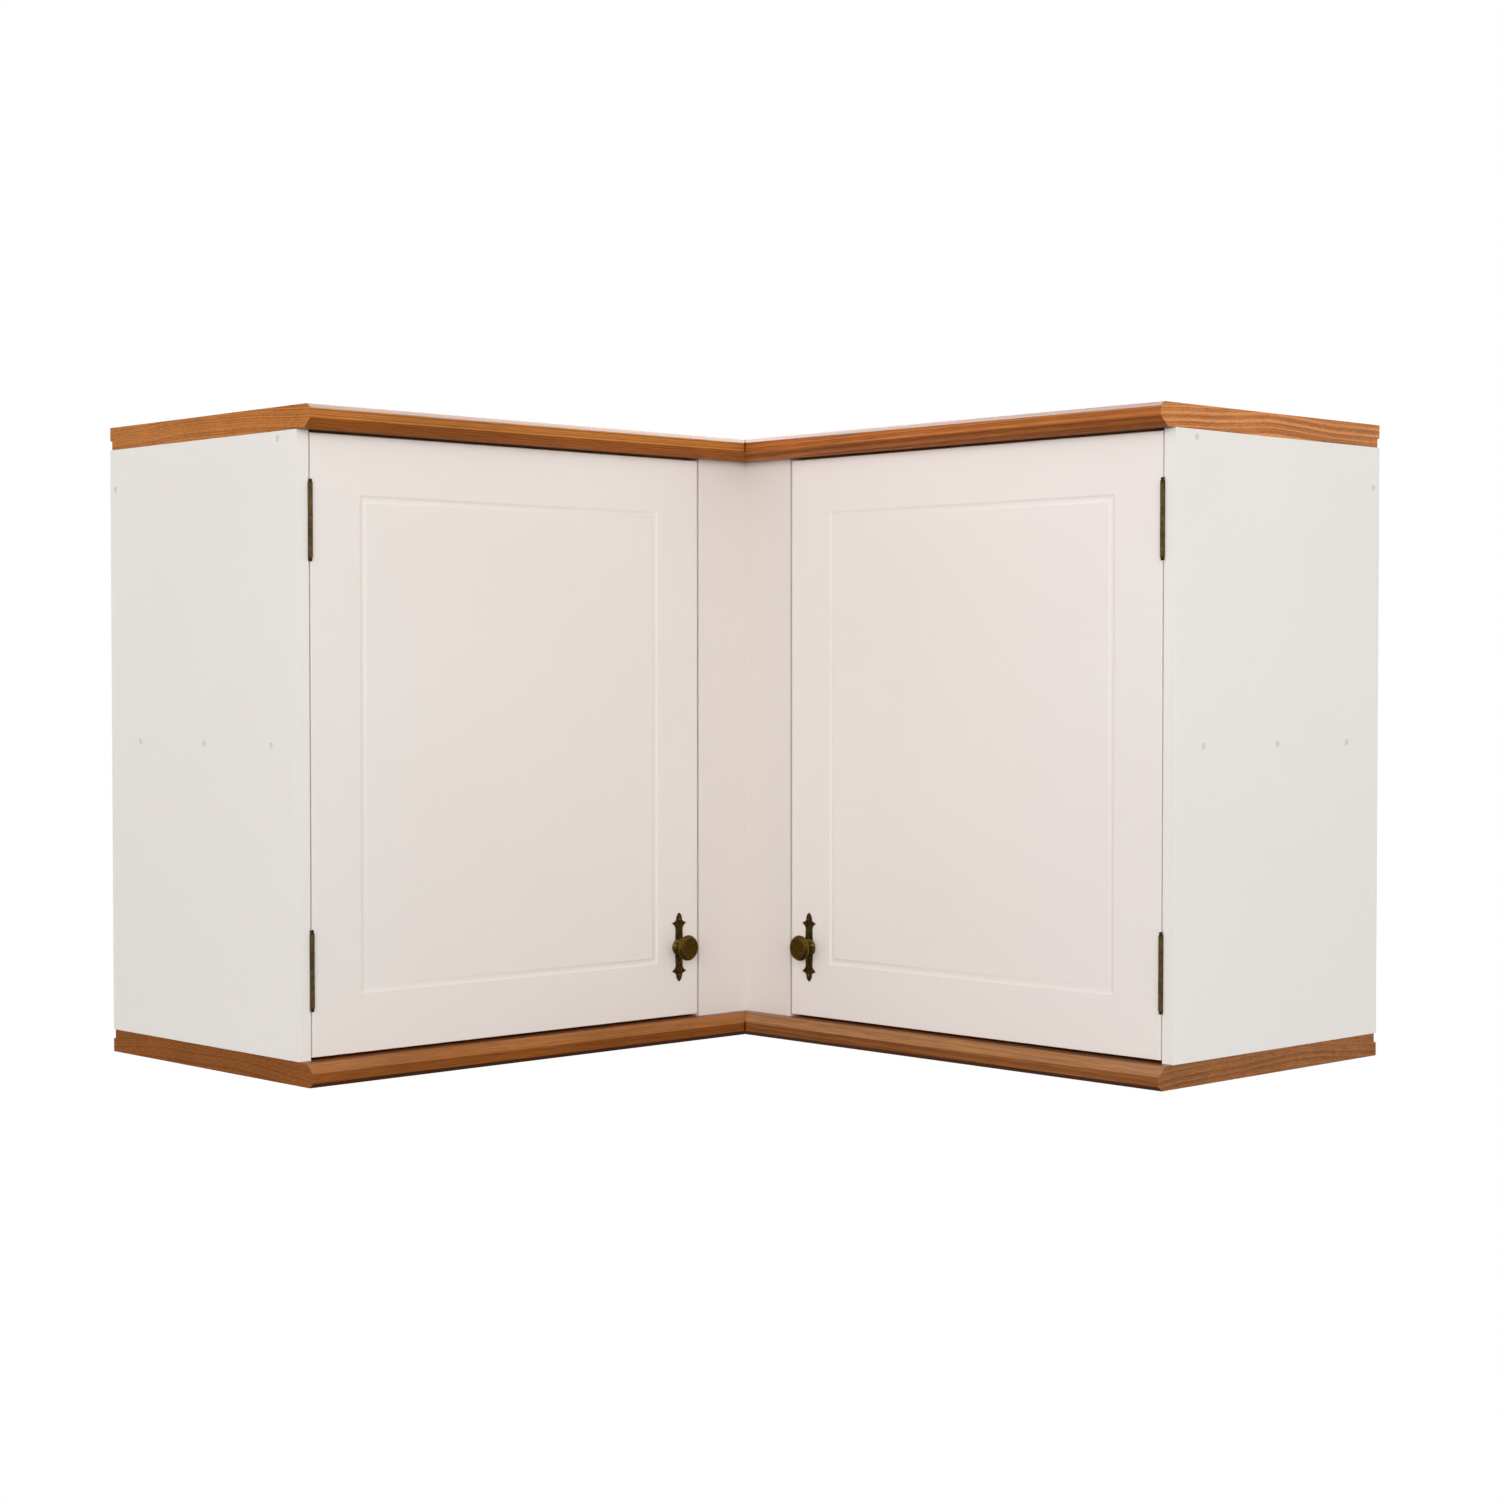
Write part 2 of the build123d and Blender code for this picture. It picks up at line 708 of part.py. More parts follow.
def door(arm):
    """A door: eased edges, routed groove, hinge cuts and the holes for its fittings."""
    middle_run = (door_latch + door_hinge) / 2
    middle_up = (door_bottom + door_top) / 2
    cutter_out = depth + groove_radius - groove_depth
    outward = Axis(origin=(0, 0, 0), direction=arm.out_dir)
    leaf_run = side_inner - leaf_thickness - leaf_gap
    leaf_seats = [
        block(
            arm,
            (leaf_run - leaf_thickness, side_inner),
            (depth - leaf_width, depth),
            (level - barrel_length / 2, level + barrel_length / 2),
        )
        for level in hinge_levels.values()
    ]
    with BuildPart() as piece:
        with BuildSketch(arm.facing(middle_run, inner_face, middle_up)):
            Rectangle(door_hinge - door_latch, door_top - door_bottom)
        extrude(amount=front_thickness)
        fillet(piece.faces().sort_by(outward)[-1].edges(), edge_round)
        with Locations(arm.facing(middle_run, cutter_out, middle_up)):
            add(groove_cutter().part, mode=Mode.SUBTRACT)
        with Locations(*gain_places(arm)):
            add(gain.part, mode=Mode.SUBTRACT)
        for seat in leaf_seats:
            add(seat.part, mode=Mode.SUBTRACT)
        with Locations(*leaf_screw_places(arm, leaf_run, arm.run_dir)):
            add(leaf_screw_hole.part, mode=Mode.SUBTRACT)
        with Locations(arm.facing(knob_run, inner_face, knob_up)):
            add(knob_screw_hole.part, mode=Mode.SUBTRACT)
        with Locations(*nail_places(arm, depth)):
            add(nail_hole.part, mode=Mode.SUBTRACT)
        with Locations(*strike_screw_places(arm)):
            add(strike_screw_hole.part, mode=Mode.SUBTRACT)
    return piece


# ---- Knobs and backplates ----


def nail_places(arm, out):
    """Where the two small nails of a backplate go."""
    return [arm.facing(knob_run, out, knob_up + side * nail_rise) for side in (-1, 1)]


def backplate():
    """The long plate behind a knob, lying on Z = 0, with a domed boss in its middle."""
    half_length = plate_length / 2
    half_waist = plate_waist / 2
    half_root = plate_root / 2
    half_span = plate_wing_span / 2
    neck_rise = plate_wing_rise - 0.6 * half_span
    shoulder_rise = (nail_rise + plate_wing_rise) / 2 + 0.2 * half_waist
    with BuildPart() as piece:
        with BuildSketch(Plane.XY):
            with BuildLine():
                Line((0, 0), (half_root, 0))
                Line((half_root, 0), (half_waist, neck_rise))
                ThreePointArc(
                    (half_waist, neck_rise),
                    (0.62 * half_span, plate_wing_rise - 0.27 * half_span),
                    (half_span, plate_wing_rise),
                )
                ThreePointArc(
                    (half_span, plate_wing_rise),
                    (0.6 * half_span, plate_wing_rise + 0.17 * half_span),
                    (0.86 * half_waist, shoulder_rise),
                )
                ThreePointArc(
                    (0.86 * half_waist, shoulder_rise),
                    (0.62 * half_waist, (shoulder_rise + half_length) / 2 + 0.2 * half_waist),
                    (0, half_length),
                )
                Line((0, half_length), (0, 0))
            make_face()
            mirror(about=Plane.YZ)
            mirror(about=Plane.XZ)
        extrude(amount=plate_thickness)
        with BuildSketch(Plane.XZ):
            with BuildLine():
                Line((0, 0), (boss_radius, 0))
                Line((boss_radius, 0), (boss_radius, plate_thickness))
                ThreePointArc(
                    (boss_radius, plate_thickness),
                    (0.8 * boss_radius, 0.35 * plate_thickness + 0.65 * boss_height),
                    (knob_neck_radius, boss_height),
                )
                Line((knob_neck_radius, boss_height), (0, boss_height))
                Line((0, boss_height), (0, 0))
            make_face()
        revolve(axis=Axis.Z)
        Cylinder(knob_screw_radius + fixing_clearance, 2 * boss_height, mode=Mode.SUBTRACT)
        with Locations((0, nail_rise, plate_thickness), (0, -nail_rise, plate_thickness)):
            add(nail_hole.part, mode=Mode.SUBTRACT)
    return piece


def knob():
    """The turned knob along Z, whose neck stands on the boss of the backplate."""
    flare_up = knob_back - knob_flare
    edge_up = knob_back + knob_back_fall
    rim_up = knob_back + knob_rim
    with BuildPart() as piece:
        with BuildSketch(Plane.XZ):
            with BuildLine():
                Line((0, boss_height), (knob_neck_radius, boss_height))
                ThreePointArc(
                    (knob_neck_radius, boss_height),
                    (0.82 * knob_neck_radius, (boss_height + knob_back) / 2 - knob_flare),
                    (1.25 * knob_neck_radius, flare_up),
                )
                Line((1.25 * knob_neck_radius, flare_up), (0.94 * knob_radius, edge_up))
                ThreePointArc(
                    (0.94 * knob_radius, edge_up),
                    (knob_radius, (edge_up + rim_up) / 2),
                    (0.95 * knob_radius, rim_up),
                )
                Line((0.95 * knob_radius, rim_up), (0.8 * knob_radius, knob_front))
                TangentArc((0, knob_front - knob_dish), (0.8 * knob_radius, knob_front), tangent=(1, 0))
                Line((0, knob_front - knob_dish), (0, boss_height))
            make_face()
        revolve(axis=Axis.Z)
        with Locations((0, 0, boss_height + knob_screw_engagement / 2)):
            Cylinder(knob_screw_radius + fixing_clearance, knob_screw_engagement, mode=Mode.SUBTRACT)
    return piece


def knob_screw():
    """The machine screw from the back of the door, along Z, into the knob."""
    shank_length = front_thickness + boss_height + knob_screw_engagement - knob_screw_end_gap
    with BuildPart() as piece:
        with BuildSketch(Plane.XY):
            Circle(knob_screw_radius)
        extrude(amount=shank_length)
        with BuildSketch(Plane.XY):
            Circle(knob_screw_head_radius)
        extrude(amount=-knob_screw_head_height)
        fillet(piece.edges().sort_by(Axis.Z)[0], knob_screw_head_height / 3)
        with Locations((0, 0, -knob_screw_head_height)):
            Box(2 * knob_screw_head_radius, knob_screw_slot, knob_screw_head_height, mode=Mode.SUBTRACT)
    return piece


# ---- Magnetic catches ----


def catch_housing(arm):
    """The catch's case under the shelf, open to the door for its magnet."""
    half = catch_length / 2
    pocket_half = magnet_length / 2 + magnet_clearance
    pocket_rise = magnet_height / 2 + magnet_clearance
    pocket = block(
        arm,
        (catch_run - pocket_half, catch_run + pocket_half),
        (catch_front + magnet_proud - magnet_width - magnet_clearance, catch_front),
        (catch_up - pocket_rise, catch_up + pocket_rise),
    )
    with BuildPart() as piece:
        with BuildSketch(arm.section(catch_run - half)):
            rectangle(
                catch_front - catch_width,
                catch_front,
                catch_up - catch_height / 2,
                catch_up + catch_height / 2,
            )
        extrude(amount=catch_length, dir=arm.run_dir)
        fillet(piece.edges().filter_by(Axis.Z), catch_corner)
        add(pocket.part, mode=Mode.SUBTRACT)
        with Locations(*catch_screw_places(arm)):
            add(catch_screw_hole.part, mode=Mode.SUBTRACT)
    return piece


def catch_magnet(arm):
    """The magnet that stands a little out of its case."""
    return block(
        arm,
        (catch_run - magnet_length / 2, catch_run + magnet_length / 2),
        (catch_front + magnet_proud - magnet_width, catch_front + magnet_proud),
        (catch_up - magnet_height / 2, catch_up + magnet_height / 2),
    )


def strike_plate(arm):
    """The steel plate on the back of a door that the magnet holds."""
    with BuildPart() as piece:
        with BuildSketch(arm.facing(catch_run, inner_face - strike_thickness, catch_up)):
            RectangleRounded(strike_length, strike_height, strike_height / 4)
        extrude(amount=strike_thickness)
        with Locations(*strike_screw_places(arm)):
            add(strike_screw_hole.part, mode=Mode.SUBTRACT)
    return piece


# ---- The pieces of each arm ----

for arm in arms:
    keep_piece(arm_board(arm, True), f"top_board_{arm.name}")
    keep_piece(arm_board(arm, False), f"bottom_board_{arm.name}")
    keep_piece(side_panel(arm), f"side_panel_{arm.name}")
    keep_piece(back_panel(arm), f"back_panel_{arm.name}")
    keep_piece(filler(arm), f"filler_{arm.name}")
    keep_piece(shelf(arm), f"shelf_{arm.name}")
    keep_piece(hanging_rail(arm), f"hanging_rail_{arm.name}")
    keep_piece(front_rail(arm), f"front_rail_{arm.name}")
    keep_piece(door(arm), f"door_{arm.name}")

    frame_leaf_run = side_inner - leaf_thickness
    door_leaf_run = frame_leaf_run - leaf_gap
    for level_name, level in hinge_levels.items():
        frame_leaf = hinge_leaf(arm, level, frame_leaf_run, frame_leaf_run, -arm.run_dir, 0)
        door_leaf = hinge_leaf(arm, level, door_leaf_run - leaf_thickness, door_leaf_run, arm.run_dir, 1)
        pin = copies(hinge_pin(), [arm.toward(pin_run, pin_out, level, (0, 0, 1))])
        keep_piece(frame_leaf, f"hinge_frame_leaf_{arm.name}_{level_name}")
        keep_piece(door_leaf, f"hinge_door_leaf_{arm.name}_{level_name}")
        keep_piece(pin, f"hinge_pin_{arm.name}_{level_name}")
    door_leaf_screws = copies(leaf_screw, leaf_screw_places(arm, door_leaf_run, arm.run_dir))
    keep_piece(door_leaf_screws, f"hinge_door_screws_{arm.name}")

    knob_place = arm.facing(knob_run, depth, knob_up)
    knob_screw_place = arm.facing(knob_run, inner_face, knob_up)
    keep_piece(copies(backplate(), [knob_place]), f"backplate_{arm.name}")
    keep_piece(copies(knob(), [knob_place]), f"knob_{arm.name}")
    keep_piece(copies(knob_screw(), [knob_screw_place]), f"knob_screw_{arm.name}")
    keep_piece(copies(nail, nail_places(arm, depth + plate_thickness)), f"backplate_nails_{arm.name}")

    keep_piece(catch_housing(arm), f"catch_housing_{arm.name}")
    keep_piece(catch_magnet(arm), f"catch_magnet_{arm.name}")
    keep_piece(strike_plate(arm), f"strike_plate_{arm.name}")
    keep_piece(copies(strike_screw, strike_screw_places(arm)), f"strike_screws_{arm.name}")

# ---- The pieces that both arms share ----

side_places = [place for arm in arms for place in side_screw_places(arm, arm_length - plug_thickness)]
plug_places = [place for arm in arms for place in side_screw_places(arm, arm_length)]
leaf_places = [
    place for arm in arms for place in leaf_screw_places(arm, side_inner - leaf_thickness, -arm.run_dir)
]
catch_places = [place for arm in arms for place in catch_screw_places(arm)]
dowel_places = shelf_dowel_places()
pin_places = []
for arm in arms:
    dowel_places += joint_dowel_places(arm, board) + joint_dowel_places(arm, soffit)
    for top in (True, False):
        pin_places += board_pin_places(arm, board_level(top, board_rebate / 2))
    pin_places += side_pin_places(arm)
board_middles = (board_level(True, board / 2), board_level(False, board / 2))
mitre_places = [place for up in board_middles for place in biscuit_places(up)]

keep_piece(corner_post(), "corner_post")
keep_piece(copies(post_screw, post_screw_places()), "post_screws")
keep_piece(copies(side_screw, side_places), "side_screws")
keep_piece(copies(plug, plug_places), "screw_plugs")
keep_piece(copies(leaf_screw, leaf_places), "hinge_frame_screws")
keep_piece(copies(catch_screw, catch_places), "catch_screws")
keep_piece(copies(dowel, dowel_places), "carcass_dowels")
keep_piece(copies(biscuit, mitre_places), "mitre_biscuits")
keep_piece(copies(back_pin, pin_places), "back_panel_pins")
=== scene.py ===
"""Looks of the corner wall cabinet: stained pine boards, painted panels and doors, aged bronze fittings.

Everything is in metres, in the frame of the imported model: the corner of the room is the
origin, the right arm runs along +X, the left arm runs along -Y, and +Z is up.
"""

import json
import logging
import math
from collections.abc import Sequence
from dataclasses import dataclass, replace
from enum import Enum

import bpy
from mathutils import Matrix, Vector

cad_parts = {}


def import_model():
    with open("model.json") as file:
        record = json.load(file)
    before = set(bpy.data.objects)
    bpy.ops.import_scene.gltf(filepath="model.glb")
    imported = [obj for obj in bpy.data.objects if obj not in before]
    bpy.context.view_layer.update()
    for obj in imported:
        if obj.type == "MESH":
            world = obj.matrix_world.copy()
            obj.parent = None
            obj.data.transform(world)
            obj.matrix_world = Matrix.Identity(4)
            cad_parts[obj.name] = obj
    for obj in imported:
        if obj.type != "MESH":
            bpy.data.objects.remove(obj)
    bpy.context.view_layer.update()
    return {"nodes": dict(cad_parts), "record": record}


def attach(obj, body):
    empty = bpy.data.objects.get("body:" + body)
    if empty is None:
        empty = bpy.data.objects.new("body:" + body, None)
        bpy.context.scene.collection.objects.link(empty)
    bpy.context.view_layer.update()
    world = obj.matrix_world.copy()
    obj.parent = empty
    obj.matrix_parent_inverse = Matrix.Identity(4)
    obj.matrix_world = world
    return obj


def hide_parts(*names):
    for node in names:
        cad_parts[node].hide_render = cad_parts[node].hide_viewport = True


LOG = logging.getLogger("corner_wall_cabinet")
MM = 0.001
QUARTER = math.pi / 2
UP = Vector((0, 0, 1))
ZERO = (0.0, 0.0, 0.0)

Colour = tuple[float, float, float, float]
Place = tuple[float, float, float]
Range = tuple[float, float]
Socket = bpy.types.NodeSocket
Value = Socket | float | Sequence[float]


class Side(Enum):
    """The two arms of the cabinet, as a person in front of it names them."""

    LEFT = "left"
    RIGHT = "right"


class Level(Enum):
    """Where an arm's two moulded boards lie."""

    TOP = "top"
    BOTTOM = "bottom"


class Crease(Enum):
    """The angle in degrees from which an edge stays sharp on a piece that is shaded smooth."""

    SAWN = 35.0
    TURNED = 50.0
    NAIL_HEAD = 60.0


class Interface(Enum):
    """Kinds of sockets that a shared effect can have."""

    FLOAT = "NodeSocketFloat"
    VECTOR = "NodeSocketVector"


@dataclass(frozen=True)
class Arm:
    """One arm of the cabinet, and the two directions that its pieces follow."""

    side: Side
    run: Vector
    out: Vector

    @property
    def name(self) -> str:
        """The arm's name as the nodes spell it."""
        return self.side.value

    def point(self, run: float, out: float, up: float) -> Vector:
        """The place at a run from the room corner, an out from the wall and an up."""
        return self.run * run + self.out * out + Vector((0, 0, up))

    def facing(self, place: Vector) -> Matrix:
        """The turn and shift that lay a piece made on Z = 0 against the arm's front.

        Args:
            place: where the piece's own origin goes.

        Returns:
            A matrix whose Z axis points into the room and whose Y axis points up.
        """
        turn = Matrix((UP.cross(self.out), UP, self.out)).transposed().to_4x4()
        return Matrix.Translation(place) @ turn


ARMS = (
    Arm(Side.LEFT, Vector((0, -1, 0)), Vector((1, 0, 0))),
    Arm(Side.RIGHT, Vector((1, 0, 0)), Vector((0, -1, 0))),
)


@dataclass(frozen=True)
class CabinetSizes:
    """The driving sizes, from which the sub-assemblies work out their own."""

    height: float = 700 * MM
    arm_length: float = 1000 * MM
    depth: float = 366 * MM
    board: float = 25 * MM
    side_thickness: float = 15 * MM
    front_thickness: float = 18 * MM
    back_thickness: float = 4 * MM
    filler_width: float = 75 * MM
    gap_hinge: float = 2 * MM
    gap_latch: float = 3 * MM
    gap_top: float = 2.5 * MM
    gap_bottom: float = 3 * MM

    @property
    def soffit(self) -> float:
        """The height of the top boards' undersides."""
        return self.height - self.board

    @property
    def panel_face(self) -> float:
        """The run to the inner face of an end panel."""
        return self.arm_length - self.side_thickness

    @property
    def inner_face(self) -> float:
        """How far out the backs of the doors and of the fillers lie."""
        return self.depth - self.front_thickness

    @property
    def door_latch(self) -> float:
        """The run to a door's latch edge."""
        return self.depth + self.filler_width + self.gap_latch

    @property
    def door_hinge(self) -> float:
        """The run to a door's hinge edge."""
        return self.panel_face - self.gap_hinge

    @property
    def door_low(self) -> float:
        """The height of a door's bottom edge."""
        return self.board + self.gap_bottom

    @property
    def door_high(self) -> float:
        """The height of a door's top edge."""
        return self.soffit - self.gap_top


# ---- Shader graphs ----

# The middle of a noise's values, and the stretch in which nearly all of them lie.
NOISE_MIDDLE = 0.5
NOISE_SPREAD = (0.3, 0.7)


class Graph:
    """The nodes of one material or shared effect, added from left to right."""

    STEP = 190.0

    def __init__(self, tree: bpy.types.NodeTree) -> None:
        """Starts on an empty node tree."""
        self.tree = tree
        self.tree.nodes.clear()

    def node(self, kind: str, **settings: object) -> bpy.types.Node:
        """Adds a node.

        Args:
            kind: Blender's name of the node's type.
            settings: properties to set on it.

        Returns:
            The new node.
        """
        made = self.tree.nodes.new(kind)
        made.location = (self.STEP * len(self.tree.nodes), 0.0)
        for name, value in settings.items():
            setattr(made, name, value)
        return made

    def feed(self, socket: Socket, value: Value) -> None:
        """Links a socket to another one, or sets its own value.

        Args:
            socket: the input.
            value: a socket to link, or a value of its kind.
        """
        if isinstance(value, bpy.types.NodeSocket):
            self.tree.links.new(value, socket)
        else:
            socket.default_value = value

    def fed(self, kind: str, values: dict[str | int, Value], **settings: object) -> bpy.types.Node:
        """Adds a node and feeds its inputs.

        Args:
            kind: Blender's name of the node's type.
            values: what each input gets, by its name or its number.
            settings: properties to set on the node.

        Returns:
            The new node.
        """
        made = self.node(kind, **settings)
        for socket, value in values.items():
            self.feed(made.inputs[socket], value)
        return made

    def math(self, operation: str, first: Value, second: Value = 0.0, third: Value = 0.0) -> Socket:
        """The result of a Math node on up to three values."""
        return self.fed("ShaderNodeMath", {0: first, 1: second, 2: third}, operation=operation).outputs[0]

    def vector(self, operation: str, first: Value, second: Value) -> Socket:
        """The vector result of a Vector Math node on two vectors."""
        return self.fed("ShaderNodeVectorMath", {0: first, 1: second}, operation=operation).outputs[0]

    def parts(self, vector: Value) -> bpy.types.NodeOutputs:
        """The X, Y and Z values of a vector."""
        return self.fed("ShaderNodeSeparateXYZ", {0: vector}).outputs

    def noise(self, vector: Value, scale: Value, detail: float = 2.0, roughness: float = 0.5) -> Socket:
        """The grey value of a Noise Texture."""
        values = {"Vector": vector, "Scale": scale, "Detail": detail, "Roughness": roughness}
        return self.fed("ShaderNodeTexNoise", values).outputs[0]

    def span(self, value: Value, low: float, high: float, start: Value = 0.0, end: Value = 1.0) -> Socket:
        """Maps low to start and high to end, smoothly, and holds them outside."""
        values = {"Value": value, "From Min": low, "From Max": high, "To Min": start, "To Max": end}
        return self.fed("ShaderNodeMapRange", values, interpolation_type="SMOOTHSTEP").outputs[0]

    # A Mix node keeps its sockets for numbers, vectors and colours side by side.

    def blend(self, factor: Value, first: Value, second: Value) -> Socket:
        """Blends two colours by a factor."""
        return self.fed("ShaderNodeMix", {0: factor, 6: first, 7: second}, data_type="RGBA").outputs[2]

    def choose(self, factor: Value, first: Value, second: Value) -> Socket:
        """Blends two vectors by a factor."""
        return self.fed("ShaderNodeMix", {0: factor, 4: first, 5: second}, data_type="VECTOR").outputs[1]

    def effect(self, tree: bpy.types.NodeTree, **inputs: Value) -> bpy.types.Node:
        """Places a shared effect with its own values.

        Args:
            tree: the effect's node group.
            inputs: values by the name of their socket, with underscores for spaces.

        Returns:
            The group node, whose outputs hold the effect's results.
        """
        made = self.node("ShaderNodeGroup", node_tree=tree)
        for name, value in inputs.items():
            self.feed(made.inputs[name.replace("_", " ")], value)
        return made


class Effect:
    """A shared effect: a node group that is built once and then used by many finishes."""

    name = "effect"
    inputs: tuple[tuple[str, Interface, float], ...] = ()
    outputs: tuple[tuple[str, Interface], ...] = ()

    def tree(self) -> bpy.types.NodeTree:
        """The effect's node group, built on its first use.

        Returns:
            The group, which all finishes share.
        """
        found = bpy.data.node_groups.get(self.name)
        if found:
            return found
        made = bpy.data.node_groups.new(self.name, "ShaderNodeTree")
        made.interface.new_socket("Vector", in_out="INPUT", socket_type=Interface.VECTOR.value)
        for name, kind, value in self.inputs:
            socket = made.interface.new_socket(name, in_out="INPUT", socket_type=kind.value)
            socket.default_value = value
        for name, kind in self.outputs:
            made.interface.new_socket(name, in_out="OUTPUT", socket_type=kind.value)
        graph = Graph(made)
        start = graph.node("NodeGroupInput")
        end = graph.node("NodeGroupOutput")
        self.build(graph, start.outputs, end.inputs)
        return made

    def build(self, graph: Graph, given: bpy.types.NodeOutputs, results: bpy.types.NodeInputs) -> None:
        """Adds the effect's nodes between its inputs and its outputs.

        Args:
            graph: the effect's graph.
            given: the group's inputs, as sockets to read from.
            results: the group's outputs, as sockets to feed.
        """
        raise NotImplementedError


class TreeRings(Effect):
    """Growth rings and fibres of sawn softwood, with the heart of the tree along X."""

    name = "tree_rings"
    inputs = (
        ("Ring Width", Interface.FLOAT, 0.003),
        ("Waviness", Interface.FLOAT, 0.004),
        ("Fibre Width", Interface.FLOAT, 0.0008),
    )
    outputs = (("Late Wood", Interface.FLOAT), ("Fibre", Interface.FLOAT), ("Relief", Interface.FLOAT))
    slow_waves = (1.0, 9.0, 9.0)
    slow_swing = 5.0
    quick_waves = (4.0, 34.0, 34.0)
    quick_swing = 0.7
    seasons_per_ring = 0.37
    season_swing = 1.6
    late_rise = (0.15, 0.88)
    late_fall = (0.90, 1.0)
    strength_scale = 2.4
    least_strength = 0.72
    fibre_stretch = (0.025, 0.10, 1.0)
    relief_share = 0.5

    def swing(self, graph: Graph, space: Socket, detail: float, reach: Socket) -> Socket:
        """A noise in a space that pushes the rings to and fro by a reach in metres."""
        centred = graph.math("SUBTRACT", graph.noise(space, 1.0, detail), NOISE_MIDDLE)
        return graph.math("MULTIPLY", centred, reach)

    def build(self, graph: Graph, given: bpy.types.NodeOutputs, results: bpy.types.NodeInputs) -> None:
        """Cuts rings by their distance from the heart and stretches fibres along it.

        Args:
            graph: the effect's graph.
            given: the group's inputs, as sockets to read from.
            results: the group's outputs, as sockets to feed.
        """
        slow = graph.vector("MULTIPLY", given["Vector"], self.slow_waves)
        quick = graph.vector("MULTIPLY", given["Vector"], self.quick_waves)
        far = graph.math("MULTIPLY", given["Waviness"], self.slow_swing)
        near = graph.math("MULTIPLY", given["Waviness"], self.quick_swing)
        wander = self.swing(graph, slow, detail=0.0, reach=far)
        shiver = self.swing(graph, quick, detail=1.0, reach=near)
        _, across, upward = graph.parts(given["Vector"])
        squares = graph.math("ADD", graph.math("POWER", across, 2.0), graph.math("POWER", upward, 2.0))
        radius = graph.math("SQRT", squares)
        bent = graph.math("ADD", graph.math("ADD", radius, wander), shiver)
        count = graph.math("DIVIDE", bent, given["Ring Width"])
        years = graph.math("MULTIPLY", count, self.seasons_per_ring)
        season = graph.fed("ShaderNodeTexNoise", {"W": years}, noise_dimensions="1D").outputs[0]
        uneven = graph.math("ADD", count, graph.math("MULTIPLY", season, self.season_swing))
        phase = graph.math("FRACT", uneven)
        rise = graph.span(phase, *self.late_rise)
        fall = graph.span(phase, *self.late_fall, 1.0, 0.0)
        clouds = graph.noise(slow, self.strength_scale, detail=1.0)
        strength = graph.span(clouds, *NOISE_SPREAD, self.least_strength, 1.0)
        shown = graph.math("MULTIPLY", graph.math("MULTIPLY", rise, fall), strength)
        stretched = graph.vector("MULTIPLY", given["Vector"], self.fibre_stretch)
        fibre = graph.noise(stretched, graph.math("DIVIDE", 1.0, given["Fibre Width"]), detail=3.0)
        raised = graph.math("MULTIPLY", fibre, self.relief_share)
        graph.feed(results["Late Wood"], shown)
        graph.feed(results["Fibre"], fibre)
        graph.feed(results["Relief"], graph.math("MULTIPLY_ADD", shown, self.relief_share, raised))


class PaintSkin(Effect):
    """A rolled coat of paint over a sanded board: fine peel and the wood's faint relief."""

    name = "paint_skin"
    inputs = (("Peel Scale", Interface.FLOAT, 520.0), ("Board Relief", Interface.FLOAT, 0.2))
    outputs = (("Tone", Interface.FLOAT), ("Sheen Patches", Interface.FLOAT), ("Relief", Interface.FLOAT))
    upright_streaks = (160.0, 160.0, 3.0)
    cloud_scale = 3.0
    streak_share = 0.15

    def build(self, graph: Graph, given: bpy.types.NodeOutputs, results: bpy.types.NodeInputs) -> None:
        """Adds peel, upright streaks and a slow drift of tone.

        Args:
            graph: the effect's graph.
            given: the group's inputs, as sockets to read from.
            results: the group's outputs, as sockets to feed.
        """
        peel = graph.noise(given["Vector"], given["Peel Scale"], detail=1.5)
        upright = graph.vector("MULTIPLY", given["Vector"], self.upright_streaks)
        streak = graph.noise(upright, 1.0, detail=3.0, roughness=0.6)
        cloud = graph.noise(given["Vector"], self.cloud_scale, detail=3.0)
        raised = graph.math("MULTIPLY", streak, given["Board Relief"])
        drift = graph.math("MULTIPLY", cloud, 1.0 - self.streak_share)
        graph.feed(results["Relief"], graph.math("ADD", peel, raised))
        graph.feed(results["Tone"], graph.math("MULTIPLY_ADD", streak, self.streak_share, drift))
        graph.feed(results["Sheen Patches"], cloud)


